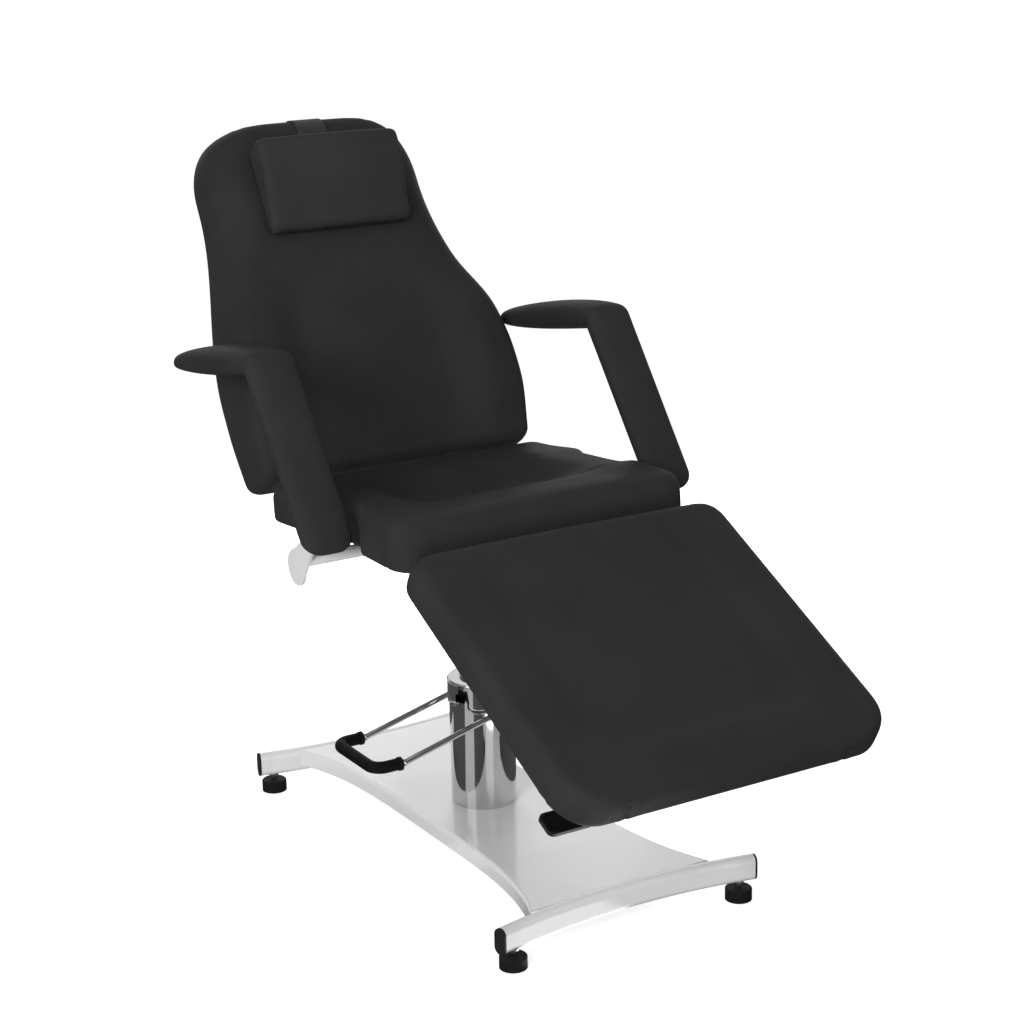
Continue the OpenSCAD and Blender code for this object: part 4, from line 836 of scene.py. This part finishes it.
def arm_pairs():
    """Pairs of points on the outer and the inner line of an armrest, one pair for each ring."""
    v = {k: Vector(ARM[k]) for k in ("tip", "arch", "corner", "under", "crook", "foot_out", "foot_in")}
    rise = Vector((0, ARM["rise"]))
    top_end = v["corner"] - (v["corner"] - v["arch"]).normalized() * ARM["corner_r"]
    limb = v["corner"] + (v["foot_out"] - v["corner"]).normalized() * ARM["corner_r"]
    foot = (v["foot_out"] + v["foot_in"]) / 2
    share = 1 - ARM["foot_r"] / (foot - (limb + v["crook"]) / 2).length

    def bezier(a, b, c, t):
        return a.lerp(b, t).lerp(b.lerp(c, t), t)

    def curve(a, b, c, d, t):
        return bezier(a, b, c, t).lerp(bezier(b, c, d, t), t)

    pairs = []
    for i in range(35):
        t = (i / 34) ** 1.4
        pairs.append((curve(v["tip"], v["tip"] + rise, v["arch"], top_end, t),
                      curve(v["tip"], v["tip"] - rise, v["under"], v["crook"], t)))
    for i in range(1, 9):
        pairs.append((bezier(top_end, v["corner"], limb, i / 8), v["crook"]))
    shares = [share * i / 24 for i in range(1, 25)]
    shares += [mix(share, 1, math.sin(math.pi / 2 * i / 9)) for i in range(1, 10)]
    pairs += [(limb.lerp(v["foot_out"], t), v["crook"].lerp(v["foot_in"], t)) for t in shares]
    return pairs, v["tip"], foot


def arm_pad(name, side, body, node):
    """An armrest's cover; side is -1 on the right and 1 on the left."""
    pairs, tip, heel = arm_pairs()
    line = [(a + b) / 2 for a, b in pairs]
    around = ARM_AROUND
    points, faces = [], []
    for p, (outer, inner) in zip(line, pairs):
        rise = (outer - inner) / 2
        cut = ARM["foot_r"] * (1 - quarter((heel - p).length, ARM["foot_r"]))
        thick = max(rise.length - cut, THINNEST)
        from_tip = max((p - tip).length, 0.002)
        wide = max(ARM["width"] / 2 * quarter(from_tip, ARM["tip_r"]) - cut, THINNEST)
        up = rise.normalized() if rise.length > 0 else Vector((0, 1))
        for k in range(around):
            t = 2 * math.pi * k / around
            lift = math.copysign(abs(math.sin(t)) ** ARM["power"], math.sin(t)) * thick
            out = math.copysign(abs(math.cos(t)) ** ARM["power"], math.cos(t)) * wide
            points.append((p[0] + up[0] * lift, out, p[1] + up[1] * lift))
    rows = len(line)
    for i in range(rows - 1):
        for k in range(around):
            a, b = i * around + k, i * around + (k + 1) % around
            faces.append((a, b, b + around, a + around))
    for base, centre, flip in ((0, line[0], True), ((rows - 1) * around, line[-1], False)):
        middle = len(points)
        points.append((centre[0], 0, centre[1]))
        for k in range(around):
            face = (base + k, base + (k + 1) % around, middle)
            faces.append(face[::-1] if flip else face)
    place = IN_SEAT @ shift(ARM_PIVOT[0], side * ARM_Y, ARM_PIVOT[1]) @ turn_y(SEAT_TILT)
    piece = new_piece(name, points, faces, place)
    face_outward(piece)
    subdivide(piece)
    no_seams(piece)
    finish_soft(piece, body, [node])


def area_light(name, place, aim, size, power):
    """A soft lamp that reflections don't show."""
    light = bpy.data.lights.new(name, "AREA")
    light.shape = "RECTANGLE"
    light.size, light.size_y = size
    light.energy = power
    lamp = bpy.data.objects.new(name, light)
    lamp.location = place
    lamp.rotation_euler = (Vector(aim) - Vector(place)).to_track_quat("-Z", "Y").to_euler()
    lamp.visible_glossy = False
    bpy.context.collection.objects.link(lamp)


def camera():
    azimuth, pitch, roll = (math.radians(CAMERA[k]) for k in ("azimuth", "pitch", "roll"))
    ahead = Vector((-math.sin(azimuth) * math.cos(pitch), math.cos(azimuth) * math.cos(pitch),
                    -math.sin(pitch)))
    right = Vector((math.cos(azimuth), math.sin(azimuth), 0))
    up = right.cross(ahead)
    right, up = (right * math.cos(roll) + up * math.sin(roll),
                 -right * math.sin(roll) + up * math.cos(roll))
    data = bpy.data.cameras.new("photo_view")
    data.sensor_width = CAMERA["sensor"]
    data.lens = CAMERA["sensor"] * CAMERA["focal"] / CAMERA["width"]
    data.clip_end = 60
    eye = bpy.data.objects.new("photo_view", data)
    eye.matrix_world = shift(*CAMERA["place"]) @ Matrix((right, up, -ahead)).transposed().to_4x4()
    bpy.context.collection.objects.link(eye)
    bpy.context.scene.camera = eye


def strip_level(m, x, y, upward):
    """Brightness of the strip lights in the direction x, y, in reflections that point down or up."""
    angle = m.math("ARCTAN2", y, x)
    total = None
    for middle, half, *levels in STRIPS:
        away = m.math("ABSOLUTE", m.math("SUBTRACT", angle, math.radians(middle)))
        lit = m.range(away, math.radians(half) - 0.03, math.radians(half) + 0.03, levels[upward], 0)
        total = lit if total is None else m.math("ADD", total, lit)
    return total


def floor():
    """White to the camera, dark in reflections but for the strip lights, and pale for all other light."""
    piece = new_piece("floor", [(-30, -30, 0), (30, -30, 0), (30, 30, 0), (-30, 30, 0)], [(0, 1, 2, 3)])
    m = Nodes("pale_floor")
    path = m.add("ShaderNodeLightPath").outputs
    split = m.add("ShaderNodeSeparateXYZ")
    m.link(m.place, split.inputs[0])
    at = split.outputs
    strips = strip_level(m, m.math("SUBTRACT", at["X"], COLUMN_X), at["Y"], 0)
    pale = m.blend(m.noise(2, 2), (0.80, 0.80, 0.80), (0.82, 0.82, 0.82))
    seen = m.math("MULTIPLY", path["Is Camera Ray"], 0.66)
    m.set(Base_Color=m.blend(path["Is Glossy Ray"], pale, (0.10, 0.10, 0.10)), Roughness=0.8,
          Specular_IOR_Level=0.0, Emission_Color=(1, 1, 1, 1),
          Emission_Strength=m.math("ADD", seen, m.math("MULTIPLY", path["Is Glossy Ray"], strips)))
    piece.data.materials.append(m.material)


def studio():
    """White to the camera and an even soft room for the light. Reflections show a dark room with the two
    strip lights and a glow behind the chair, which the photograph's white base plate mirrors."""
    world = bpy.data.worlds.new("studio")
    bpy.context.scene.world = world
    world.use_nodes = True
    tree = world.node_tree
    sky = tree.nodes["Background"]
    m = Wires(tree)
    split = m.add("ShaderNodeSeparateXYZ")
    m.link(m.add("ShaderNodeTexCoord").outputs["Generated"], split.inputs[0])
    x, y, z = (split.outputs[k] for k in "XYZ")
    path = m.add("ShaderNodeLightPath").outputs
    # The soft room, a little brighter towards the foot end and low down
    front = m.math("MULTIPLY_ADD", x, 0.16, m.math("MULTIPLY_ADD", y, -0.03, 0.62))
    soft = m.math("MAXIMUM", m.math("MULTIPLY_ADD", z, -0.26, front), 0.1)
    # How far a direction points to the glow behind the chair
    behind = m.math("MULTIPLY_ADD", x, -0.86, m.math("MULTIPLY", y, 0.51))
    mirrored = m.math("ADD", m.range(z, -0.05, 0.7, 0.10, 0.30), strip_level(m, x, y, 1))
    mirrored = m.math("ADD", mirrored, m.range(behind, 0.45, 0.9, 0, 0.65))
    # One brightness for what the camera sees, one for reflections and one for all other light
    glossy, camera_ray = path["Is Glossy Ray"], path["Is Camera Ray"]
    rest = m.math("SUBTRACT", 1.0, m.math("MAXIMUM", glossy, camera_ray))
    strength = m.math("ADD", camera_ray, m.math("MULTIPLY", glossy, mirrored))
    strength = m.math("ADD", strength, m.math("MULTIPLY", rest, soft))
    sky.inputs["Color"].default_value = (1, 1, 1, 1)
    tree.links.new(strength, sky.inputs["Strength"])
    for name, values in LAMPS.items():
        area_light(name, *values)
    bpy.context.scene.view_settings.view_transform = "Standard"


dress_frame()
seat_cushion()
leg_cushion()
back_cushion()
head_cushion()
head_strap()
arm_pad("right_armrest_cover", -1, "right_arm", "right_arm_pad")
arm_pad("left_armrest_cover", 1, "left_arm", "left_arm_pad")
floor()
studio()
camera()
